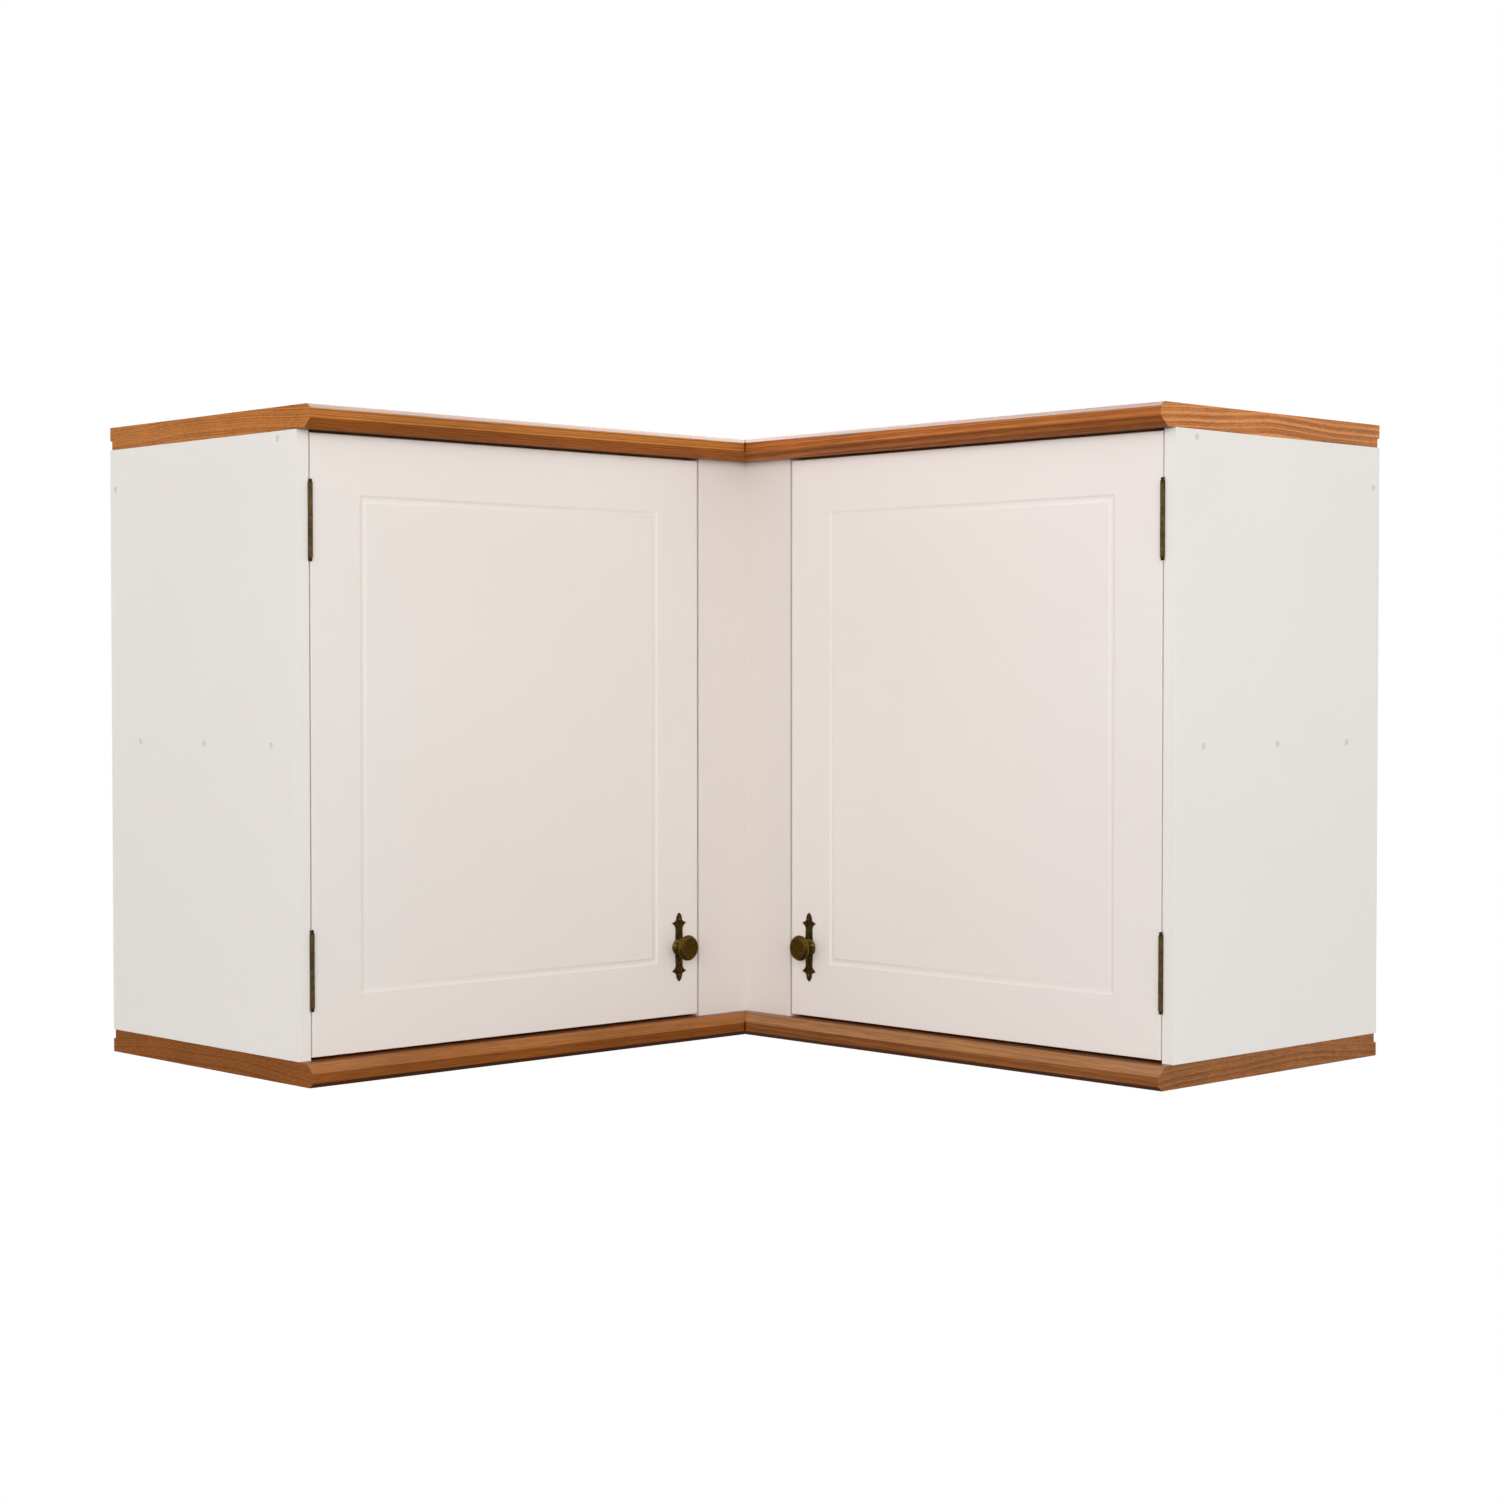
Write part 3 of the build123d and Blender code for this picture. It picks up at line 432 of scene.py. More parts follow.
class RubbedMetal(Effect):
    """Cast and darkened metal that hands have rubbed bright on its raised places."""

    name = "rubbed_metal"
    inputs = (
        ("Mottle Scale", Interface.FLOAT, 260.0),
        ("Hammer Scale", Interface.FLOAT, 420.0),
        ("Rub Amount", Interface.FLOAT, 1.0),
    )
    outputs = (("Rub", Interface.FLOAT), ("Tarnish", Interface.FLOAT), ("Relief", Interface.FLOAT))
    grit_scale = 1900.0
    grit_relief = 0.25
    tarnish_range = (0.34, 0.66)
    fleck_range = (0.24, 0.42)

    def build(self, graph: Graph, given: bpy.types.NodeOutputs, results: bpy.types.NodeInputs) -> None:
        """Adds mottled tarnish, hammered dimples and fine rubbed flecks.

        Args:
            graph: the effect's graph.
            given: the group's inputs, as sockets to read from.
            results: the group's outputs, as sockets to feed.
        """
        mottle = graph.noise(given["Vector"], given["Mottle Scale"], detail=4.0)
        cells = {"Vector": given["Vector"], "Scale": given["Hammer Scale"]}
        dimples = graph.fed("ShaderNodeTexVoronoi", cells, feature="SMOOTH_F1").outputs[0]
        grit = graph.noise(given["Vector"], self.grit_scale, roughness=0.7)
        flecks = graph.span(graph.math("MULTIPLY", grit, mottle), *self.fleck_range)
        graph.feed(results["Tarnish"], graph.span(mottle, *self.tarnish_range))
        graph.feed(results["Rub"], graph.math("MULTIPLY", flecks, given["Rub Amount"]))
        graph.feed(results["Relief"], graph.math("MULTIPLY_ADD", grit, self.grit_relief, dimples))


# ---- Finishes ----


@dataclass(frozen=True)
class Finish:
    """A surface finish: its name, its slot in the record and how it is put on a piece."""

    name: str
    slot: str

    def material(self) -> bpy.types.Material:
        """The finish's material, built on its first use under a name that no packed material has.

        Returns:
            The material, which all pieces of this finish share.
        """
        title = f"{self.name}_finish"
        found = bpy.data.materials.get(title)
        if found:
            return found
        made = bpy.data.materials.new(title)
        made.use_nodes = True
        graph = Graph(made.node_tree)
        shader = graph.node("ShaderNodeBsdfPrincipled")
        end = graph.node("ShaderNodeOutputMaterial")
        graph.feed(end.inputs["Surface"], shader.outputs[0])
        self.build(graph, shader)
        return made

    def build(self, graph: Graph, shader: bpy.types.Node) -> None:
        """Adds the finish's nodes and feeds the shader."""
        raise NotImplementedError

    def space(self, graph: Graph, shift: Place = ZERO, turn: Place = ZERO) -> Socket:
        """Object coordinates after a turn and a shift of the pattern.

        Args:
            graph: the material's graph.
            shift: what is added after the turn, in metres.
            turn: the turn about X, Y and Z, in radians.

        Returns:
            The vector socket that patterns read.
        """
        place = graph.node("ShaderNodeTexCoord").outputs["Object"]
        values = {"Vector": place, "Location": shift, "Rotation": turn}
        return graph.fed("ShaderNodeMapping", values).outputs[0]

    def bump(
        self, graph: Graph, shader: bpy.types.Node, height: Socket, strength: float, depth: float
    ) -> None:
        """Feeds a relief to the shader's normal, with the depth in metres."""
        made = graph.fed("ShaderNodeBump", {"Strength": strength, "Distance": depth, "Height": height})
        graph.feed(shader.inputs["Normal"], made.outputs[0])

    def dress(self, piece: bpy.types.Object) -> None:
        """Puts the finish on all of a piece.

        Args:
            piece: the piece, whose own materials go.
        """
        piece.data.materials.clear()
        piece.data.materials.append(self.material())


# The stretches of a normal's part along one axis in which one kind of face gives way to another.
LEVEL_FACE = (0.92, 0.97)
SLANTING_FACE = (0.30, 0.60)
NEARLY_LEVEL_FACE = (0.86, 0.96)
DOWNWARD_FACE = (-0.65, -0.35)
END_FACE = (0.5, 0.8)


@dataclass(frozen=True)
class Pine(Finish):
    """Sawn pine, bare or stained and lacquered.

    The pattern's space is the room's, turned and then shifted: its X axis is the heart of
    the tree, and the grain runs along it. Light and shade are painted into the colour by the
    way a face looks: a board's end is made lighter or of another hue as painted light, the
    moulding that slants upwards lighter or darker as painted light and shade, and the faces
    that look down darker as painted shade. Each has a factor for red, green and blue.
    """

    early: Colour
    late: Colour
    ring_width: float
    heart: Place
    turn: Place
    waviness: float = 0.004
    face_shift: float = 1.0
    cloud_scale: float = 7.0
    cloud_shade: Range = (0.90, 1.08)
    fibre_shade: Range = (0.84, 1.12)
    gloss: float = 0.08
    lacquer: float = 0.26
    roughness: Range = (0.24, 0.36)
    relief: float = 0.35
    relief_depth: float = 0.10 * MM
    # Painted light and shade, as factors for red, green and blue: on the ends, on the moulding that slants
    # upwards and on the faces that look down.
    end_painted_light: Place = (1.0, 1.0, 1.0)
    upslope_painted_light: Place = (1.0, 1.0, 1.0)
    underside_painted_shade: Place = (1.0, 1.0, 1.0)

    def build(self, graph: Graph, shader: bpy.types.Node) -> None:
        """Rings darken the stain, fibres streak it, and a slow drift clouds it.

        Args:
            graph: the material's graph.
            shader: the material's shader.
        """
        place = self.broad_face(graph, self.space(graph, self.heart, self.turn))
        rings = graph.effect(
            TreeRings().tree(), Vector=place, Ring_Width=self.ring_width, Waviness=self.waviness
        )
        fibre = rings.outputs["Fibre"]
        wood = graph.blend(rings.outputs["Late Wood"], self.early, self.late)
        shade = graph.span(fibre, *NOISE_SPREAD, *self.fibre_shade)
        drift = graph.span(graph.noise(place, self.cloud_scale), *NOISE_SPREAD, *self.cloud_shade)
        # The face factors paint light and shade into the stained colour here.
        stained = graph.vector("MULTIPLY", wood, self.painted_light_factors(graph))
        shaded = graph.vector("MULTIPLY", stained, graph.math("MULTIPLY", shade, drift))
        graph.feed(shader.inputs["Base Color"], shaded)
        graph.feed(shader.inputs["Roughness"], graph.span(fibre, *NOISE_SPREAD, *self.roughness))
        graph.feed(shader.inputs["Coat Weight"], graph.math("MULTIPLY", self.moulding(graph), self.lacquer))
        shader.inputs["Coat Roughness"].default_value = self.roughness[0]
        shader.inputs["Specular IOR Level"].default_value = self.gloss
        self.bump(graph, shader, rings.outputs["Relief"], self.relief, self.relief_depth)

    def upward(self, graph: Graph) -> Socket:
        """How far a face looks up: 1 on the top, 0 on upright faces and -1 on the underside."""
        return graph.parts(graph.node("ShaderNodeNewGeometry").outputs["Normal"])[2]

    def broad_face(self, graph: Graph, place: Socket) -> Socket:
        """Turns the board's own space on its level faces, so that they show rings sawn at a slant.

        Args:
            graph: the material's graph.
            place: the space of the upright faces.

        Returns:
            The space of whichever face is shaded.
        """
        level = graph.span(graph.math("ABSOLUTE", self.upward(graph)), *LEVEL_FACE)
        along, across, upward = graph.parts(place)
        shifted = graph.math("ADD", across, self.face_shift)
        turned = graph.fed("ShaderNodeCombineXYZ", {0: along, 1: upward, 2: shifted})
        return graph.choose(level, place, turned.outputs[0])

    def moulding(self, graph: Graph) -> Socket:
        """Picks out the mouldings that slant upwards: 1 on them and 0 on the rest.

        Args:
            graph: the material's graph.

        Returns:
            The mask.
        """
        upward = self.upward(graph)
        slanting = graph.span(upward, *SLANTING_FACE)
        return graph.math("MULTIPLY", slanting, graph.span(upward, *NEARLY_LEVEL_FACE, 1.0, 0.0))

    def painted_light_factors(self, graph: Graph) -> Socket:
        """Painted light and shade on each kind of face, as factors for red, green and blue.

        Args:
            graph: the material's graph.

        Returns:
            The factors, as a vector.
        """
        values = {"Vector": graph.node("ShaderNodeNewGeometry").outputs["Normal"], "Rotation": self.turn}
        turned = graph.fed("ShaderNodeMapping", values, vector_type="VECTOR")
        along = graph.math("ABSOLUTE", graph.parts(turned.outputs[0])[0])
        # Painted light: the end faces lighter or of another hue.
        end_light_factors = graph.choose(graph.span(along, *END_FACE), (1.0, 1.0, 1.0), self.end_painted_light)
        # Painted light and shade: the moulding that slants upwards lighter or darker.
        upper = graph.choose(self.moulding(graph), end_light_factors, self.upslope_painted_light)
        # Painted shade: the faces that look down darker.
        lower = graph.span(self.upward(graph), *DOWNWARD_FACE, 1.0, 0.0)
        return graph.choose(lower, upper, self.underside_painted_shade)


@dataclass(frozen=True)
class Paint(Finish):
    """Satin paint over a board."""

    colour: Colour
    shade: Colour
    roughness: Range = (0.42, 0.52)
    peel_scale: float = 520.0
    board_relief: float = 0.2
    tone_range: Range = (0.35, 0.65)
    gloss: float = 0.3
    relief: float = 0.15
    relief_depth: float = 0.04 * MM

    def build(self, graph: Graph, shader: bpy.types.Node) -> None:
        """A slow drift of tone and sheen over fine peel.

        Args:
            graph: the material's graph.
            shader: the material's shader.
        """
        place = self.space(graph)
        skin = graph.effect(
            PaintSkin().tree(), Vector=place, Peel_Scale=self.peel_scale, Board_Relief=self.board_relief
        )
        factor = graph.span(skin.outputs["Tone"], *self.tone_range)
        rough = graph.span(skin.outputs["Sheen Patches"], *NOISE_SPREAD, *self.roughness)
        graph.feed(shader.inputs["Base Color"], graph.blend(factor, self.colour, self.shade))
        graph.feed(shader.inputs["Roughness"], rough)
        shader.inputs["Specular IOR Level"].default_value = self.gloss
        self.bump(graph, shader, skin.outputs["Relief"], self.relief, self.relief_depth)


@dataclass(frozen=True)
class AgedBronze(Finish):
    """Darkened bronze with rubbed highlights."""

    dark: Colour
    body: Colour
    bright: Colour
    mottle_scale: float
    polished: float = 0.30
    dull: float = 0.55
    relief: float = 0.5
    dimple: float = 0.12 * MM
    rub: float = 0.25
    edge_range: Range = (0.505, 0.56)
    edge_wear: float = 0.7
    least_edge_wear: float = 0.35

    def build(self, graph: Graph, shader: bpy.types.Node) -> None:
        """Tarnish over the body colour, with rubbed flecks and edges on top.

        Args:
            graph: the material's graph.
            shader: the material's shader.
        """
        place = self.space(graph)
        metal = graph.effect(
            RubbedMetal().tree(), Vector=place, Mottle_Scale=self.mottle_scale, Rub_Amount=self.rub
        )
        surface = graph.node("ShaderNodeNewGeometry")
        edges = graph.span(surface.outputs["Pointiness"], *self.edge_range, 0.0, self.edge_wear)
        patches = graph.span(metal.outputs["Tarnish"], 0.0, 1.0, self.least_edge_wear, 1.0)
        worn = graph.math("MAXIMUM", metal.outputs["Rub"], graph.math("MULTIPLY", edges, patches))
        aged = graph.blend(metal.outputs["Tarnish"], self.dark, self.body)
        graph.feed(shader.inputs["Base Color"], graph.blend(worn, aged, self.bright))
        graph.feed(shader.inputs["Roughness"], graph.span(worn, 0.0, 1.0, self.dull, self.polished))
        shader.inputs["Metallic"].default_value = 1.0
        self.bump(graph, shader, metal.outputs["Relief"], self.relief, self.dimple)


@dataclass(frozen=True)
class PlainSurface(Finish):
    """Moulded, pressed or plated stock with only a fine grain of its own."""

    colour: Colour
    shade: Colour
    metallic: float = 0.0
    grain_scale: float = 900.0
    roughness: Range = (0.35, 0.5)
    relief: float = 0.2
    relief_depth: float = 0.03 * MM

    def build(self, graph: Graph, shader: bpy.types.Node) -> None:
        """Fine grain in colour, sheen and relief.

        Args:
            graph: the material's graph.
            shader: the material's shader.
        """
        grain = graph.noise(self.space(graph), self.grain_scale, detail=3.0, roughness=0.6)
        factor = graph.span(grain, *NOISE_SPREAD)
        graph.feed(shader.inputs["Base Color"], graph.blend(factor, self.colour, self.shade))
        graph.feed(shader.inputs["Roughness"], graph.span(grain, *NOISE_SPREAD, *self.roughness))
        shader.inputs["Metallic"].default_value = self.metallic
        self.bump(graph, shader, grain, self.relief, self.relief_depth)


HONEY = (0.489, 0.180, 0.038, 1.0)
HONEY_LATE = (0.277, 0.084, 0.010, 1.0)
ROSE = (0.493, 0.159, 0.036, 1.0)
ROSE_LATE = (0.265, 0.070, 0.0125, 1.0)
UMBER = (0.26, 0.080, 0.016, 1.0)
UMBER_LATE = (0.190, 0.056, 0.010, 1.0)
TAN = (0.292, 0.105, 0.032, 1.0)
TAN_LATE = (0.192, 0.063, 0.017, 1.0)

# The boards' stains; each board's end, upslope and underside factors paint light and shade into its colour.
STAINED = {
    "top_board_left": Pine(
        "stained_pine_top_left",
        "stained_pine",
        HONEY,
        HONEY_LATE,
        ring_width=0.0027,
        heart=(0.0, -0.2, 2.6),
        turn=(0.004, 0.0, QUARTER),
        waviness=0.0010,
        lacquer=0.34,
        end_painted_light=(1.115, 1.03, 0.64),
        upslope_painted_light=(0.60, 0.57, 0.55),
        underside_painted_shade=(0.80, 0.65, 0.50),
    ),
    "top_board_right": Pine(
        "stained_pine_top_right",
        "stained_pine",
        ROSE,
        ROSE_LATE,
        ring_width=0.0072,
        heart=(3.0, 0.15, 2.3),
        turn=(0.0, 0.006, 0.0),
        waviness=0.0016,
        lacquer=0.22,
        end_painted_light=(1.37, 1.65, 2.15),
        upslope_painted_light=(0.58, 0.57, 0.52),
        underside_painted_shade=(0.87, 0.86, 0.85),
    ),
    "bottom_board_left": Pine(
        "stained_pine_bottom_left",
        "stained_pine",
        UMBER,
        UMBER_LATE,
        ring_width=0.0050,
        heart=(7.0, -0.2, 2.2),
        turn=(0.010, 0.0, QUARTER),
        waviness=0.0012,
        end_painted_light=(1.03, 1.10, 1.20),
        upslope_painted_light=(1.40, 1.60, 1.75),
        underside_painted_shade=(0.40, 0.37, 0.35),
    ),
    "bottom_board_right": Pine(
        "stained_pine_bottom_right",
        "stained_pine",
        TAN,
        TAN_LATE,
        ring_width=0.0074,
        heart=(5.0, 0.2, 2.0),
        turn=(0.0, -0.012, 0.0),
        waviness=0.0014,
        end_painted_light=(1.18, 1.32, 1.56),
        upslope_painted_light=(1.42, 1.72, 1.95),
        underside_painted_shade=(0.48, 0.44, 0.44),
    ),
}
PANEL_PAINT = Paint("panel_paint", "painted_panel", (0.795, 0.758, 0.718, 1.0), (0.783, 0.746, 0.706, 1.0))
# Painted light: the right arm's end panels have the same paint as the left's, made lighter as painted
# light.
PANEL_PAINT_RIGHT_PAINTED_LIGHT = replace(
    PANEL_PAINT,
    name="panel_paint_right",
    colour=(0.815, 0.780, 0.742, 1.0),
    shade=(0.802, 0.767, 0.729, 1.0),
)
# The fillers' paint: warmer than the end panels', and darker than the doors' as painted shade of the inner
# corner.
FILLER_PAINT_WITH_PAINTED_SHADE = Paint("front_paint", "painted_panel", (0.766, 0.706, 0.662, 1.0), (0.749, 0.689, 0.643, 1.0))
DOOR_PAINT = Paint("door_paint", "painted_door", (0.800, 0.744, 0.702, 1.0), (0.786, 0.729, 0.687, 1.0))
# Painted light: the right door has the same paint as the left one, made lighter as painted light.
DOOR_PAINT_RIGHT_PAINTED_LIGHT = replace(
    DOOR_PAINT,
    name="door_paint_right",
    colour=(0.828, 0.766, 0.730, 1.0),
    shade=(0.814, 0.751, 0.715, 1.0),
)
# The left arm takes the plain paints, the right arm the lighter copies with painted light.
PANEL_PAINTS = {Side.LEFT: PANEL_PAINT, Side.RIGHT: PANEL_PAINT_RIGHT_PAINTED_LIGHT}
DOOR_PAINTS = {Side.LEFT: DOOR_PAINT, Side.RIGHT: DOOR_PAINT_RIGHT_PAINTED_LIGHT}
BRONZE = AgedBronze(
    "aged_bronze",
    "antique_bronze",
    (0.066, 0.036, 0.003, 1.0),
    (0.105, 0.061, 0.006, 1.0),
    (0.36, 0.25, 0.07, 1.0),
    mottle_scale=420.0,
)
PLATE_BRONZE = replace(
    BRONZE,
    name="plate_bronze",
    dark=(0.026, 0.0135, 0.0015, 1.0),
    body=(0.054, 0.029, 0.0035, 1.0),
    rub=0.35,
)
BOSS_BRONZE = replace(
    BRONZE,
    name="boss_bronze",
    dark=(0.048, 0.030, 0.007, 1.0),
    body=(0.165, 0.110, 0.034, 1.0),
    rub=0.9,
)
NAIL_BRONZE = replace(BRONZE, name="nail_bronze", body=(0.26, 0.18, 0.055, 1.0), rub=0.6)
HINGE_BRONZE = AgedBronze(
    "hinge_bronze",
    "hinge_bronze",
    (0.100, 0.071, 0.026, 1.0),
    (0.150, 0.108, 0.041, 1.0),
    (0.26, 0.19, 0.07, 1.0),
    mottle_scale=180.0,
    dimple=0.03 * MM,
    edge_wear=0.0,
)
FINIAL_BRONZE = replace(
    HINGE_BRONZE, name="finial_bronze", dark=(0.026, 0.017, 0.004, 1.0), body=(0.055, 0.038, 0.010, 1.0)
)
BARE_PINE = Pine(
    "bare_pine",
    "bare_pine",
    (0.66, 0.44, 0.22, 1.0),
    (0.50, 0.28, 0.11, 1.0),
    ring_width=0.0035,
    heart=(0.0, 0.30, -0.60),
    turn=(0.0, 0.0, 0.03),
    lacquer=0.0,
    roughness=(0.55, 0.7),
)
BEECH = PlainSurface("beech", "beech", (0.55, 0.33, 0.17, 1.0), (0.47, 0.27, 0.13, 1.0))
BACK_BOARD = Paint(
    "back_board_paint", "back_board", (0.70, 0.67, 0.62, 1.0), (0.66, 0.63, 0.58, 1.0), roughness=(0.6, 0.7)
)
SHELF_FACE = Paint("shelf_face", "shelf_board", (0.80, 0.765, 0.72, 1.0), (0.78, 0.745, 0.70, 1.0))
SCREW_FILLER = Paint(
    "screw_filler", "screw_filler", (0.72, 0.68, 0.64, 1.0), (0.66, 0.62, 0.58, 1.0), roughness=(0.5, 0.62)
)
ZINC = PlainSurface(
    "zinc_steel",
    "zinc_steel",
    (0.62, 0.62, 0.62, 1.0),
    (0.50, 0.50, 0.51, 1.0),
    metallic=1.0,
    roughness=(0.25, 0.4),
)
CATCH_PLASTIC = PlainSurface(
    "catch_plastic", "catch_plastic", (0.74, 0.71, 0.64, 1.0), (0.70, 0.67, 0.60, 1.0)
)
MAGNET = PlainSurface(
    "magnet",
    "magnet",
    (0.030, 0.030, 0.033, 1.0),
    (0.050, 0.050, 0.053, 1.0),
    metallic=0.6,
    grain_scale=2400.0,
)

BY_SLOT: dict[str, Finish] = {
    finish.slot: finish
    for finish in (
        PANEL_PAINT,
        DOOR_PAINT,
        BRONZE,
        HINGE_BRONZE,
        BARE_PINE,
        BEECH,
        BACK_BOARD,
        SHELF_FACE,
        SCREW_FILLER,
        ZINC,
        CATCH_PLASTIC,
        MAGNET,
    )
}


# ---- Studio ----


@dataclass(frozen=True)
class SoftBox:
    """A large area light, with its sides in metres and its power in watts."""

    name: str
    place: Place
    width: float
    height: float
    power: float

    def hang(self, target: Place) -> bpy.types.Object:
        """Hangs the light so that it faces a target.

        Args:
            target: the place that the light faces.

        Returns:
            The light.
        """
        turn = (Vector(target) - Vector(self.place)).to_track_quat("-Z", "Y").to_euler()
        bpy.ops.object.light_add(type="AREA", location=self.place, rotation=turn)
        light = bpy.context.object
        light.name = self.name
        light.data.shape = "RECTANGLE"
        light.data.size = self.width
        light.data.size_y = self.height
        light.data.energy = self.power
        return light


@dataclass
class Studio:
    """The photograph's camera, a floor that shows white and soft light from in front and behind."""

    camera_place: Place = (2.69955, -2.58445, 0.42024)
    heading: float = math.radians(45.0) + 0.02369
    tilt_down: float = 0.02652
    focal_length_px: float = 2714.0
    frame_px: float = 1500.0
    sensor_mm: float = 36.0
    floor_level: float = -1.4
    floor_span: float = 60.0
    floor_bounce: Colour = (0.18, 0.174, 0.168, 1.0)
    light_target: Place = (0.5, -0.5, 0.35)
    front_light: SoftBox = SoftBox("front_soft_box", (6.3, -6.3, 2.1), width=6.4, height=3.2, power=312.0)
    back_light: SoftBox = SoftBox("back_soft_box", (-3.6, 3.6, 1.0), width=4.0, height=3.0, power=85.0)
    sheen_light: SoftBox = SoftBox("sheen_soft_box", (-1.3, 1.3, 2.9), width=5.0, height=2.6, power=230.0)
    sky_level: float = 1.945
    mirrored_level: float = 1.25

    def add_camera(self) -> None:
        """Makes the camera that sees the cabinet as the photograph does."""
        bpy.ops.object.camera_add(location=self.camera_place)
        camera = bpy.context.object
        camera.name = "photo_camera"
        level = math.cos(self.tilt_down)
        forward = Vector(
            (-math.sin(self.heading) * level, math.cos(self.heading) * level, -math.sin(self.tilt_down))
        )
        camera.rotation_euler = forward.to_track_quat("-Z", "Y").to_euler()
        camera.data.sensor_width = self.sensor_mm
        camera.data.lens = self.focal_length_px / self.frame_px * self.sensor_mm
        bpy.context.scene.camera = camera

    def add_floor(self) -> None:
        """Lays a floor far under the cabinet, white to the camera and dim in what it reflects."""
        bpy.ops.mesh.primitive_plane_add(size=self.floor_span, location=(0, 0, self.floor_level))
        floor = bpy.context.object
        floor.name = "floor"
        made = bpy.data.materials.new("pale_floor")
        made.use_nodes = True
        graph = Graph(made.node_tree)
        seen = graph.node("ShaderNodeLightPath").outputs["Is Camera Ray"]
        white = graph.node("ShaderNodeEmission").outputs[0]
        matt = graph.fed("ShaderNodeBsdfDiffuse", {"Color": self.floor_bounce}).outputs[0]
        pick = graph.fed("ShaderNodeMixShader", {0: seen, 1: matt, 2: white})
        graph.fed("ShaderNodeOutputMaterial", {"Surface": pick.outputs[0]})
        floor.data.materials.append(made)

    def add_sky(self) -> None:
        """Adds soft light that fades upwards, is even in reflections and is white to the camera."""
        world = bpy.data.worlds.new("studio_light")
        world.use_nodes = True
        bpy.context.scene.world = world
        graph = Graph(world.node_tree)
        upward = graph.parts(graph.node("ShaderNodeTexCoord").outputs["Generated"])[2]
        scattered = graph.math("MULTIPLY_ADD", upward, -self.sky_level, self.sky_level)
        ray = graph.node("ShaderNodeLightPath")
        glossy, seen = ray.outputs["Is Glossy Ray"], ray.outputs["Is Camera Ray"]
        mirrored = graph.math("MULTIPLY", glossy, self.mirrored_level)
        unseen = graph.math("MULTIPLY_ADD", scattered, graph.math("SUBTRACT", 1.0, glossy), mirrored)
        strength = graph.math("MULTIPLY_ADD", unseen, graph.math("SUBTRACT", 1.0, seen), seen)
        sky = graph.fed("ShaderNodeBackground", {"Color": (1.0, 1.0, 1.0, 1.0), "Strength": strength})
        graph.fed("ShaderNodeOutputWorld", {"Surface": sky.outputs[0]})

    def set_tones(self) -> None:
        """Keeps colours as they are lit, with no film curve."""
        scene = bpy.context.scene
        scene.view_settings.view_transform = "Standard"
        scene.view_settings.look = "None"

    def build(self) -> None:
        """Sets up the whole studio."""
        self.add_camera()
        self.add_floor()
        self.add_sky()
        for light in (self.front_light, self.back_light):
            light.hang(self.light_target).visible_glossy = False
        self.sheen_light.hang(self.light_target).visible_diffuse = False
        self.set_tones()
        LOG.info("studio: camera, floor and light")


# ---- Modelling ----


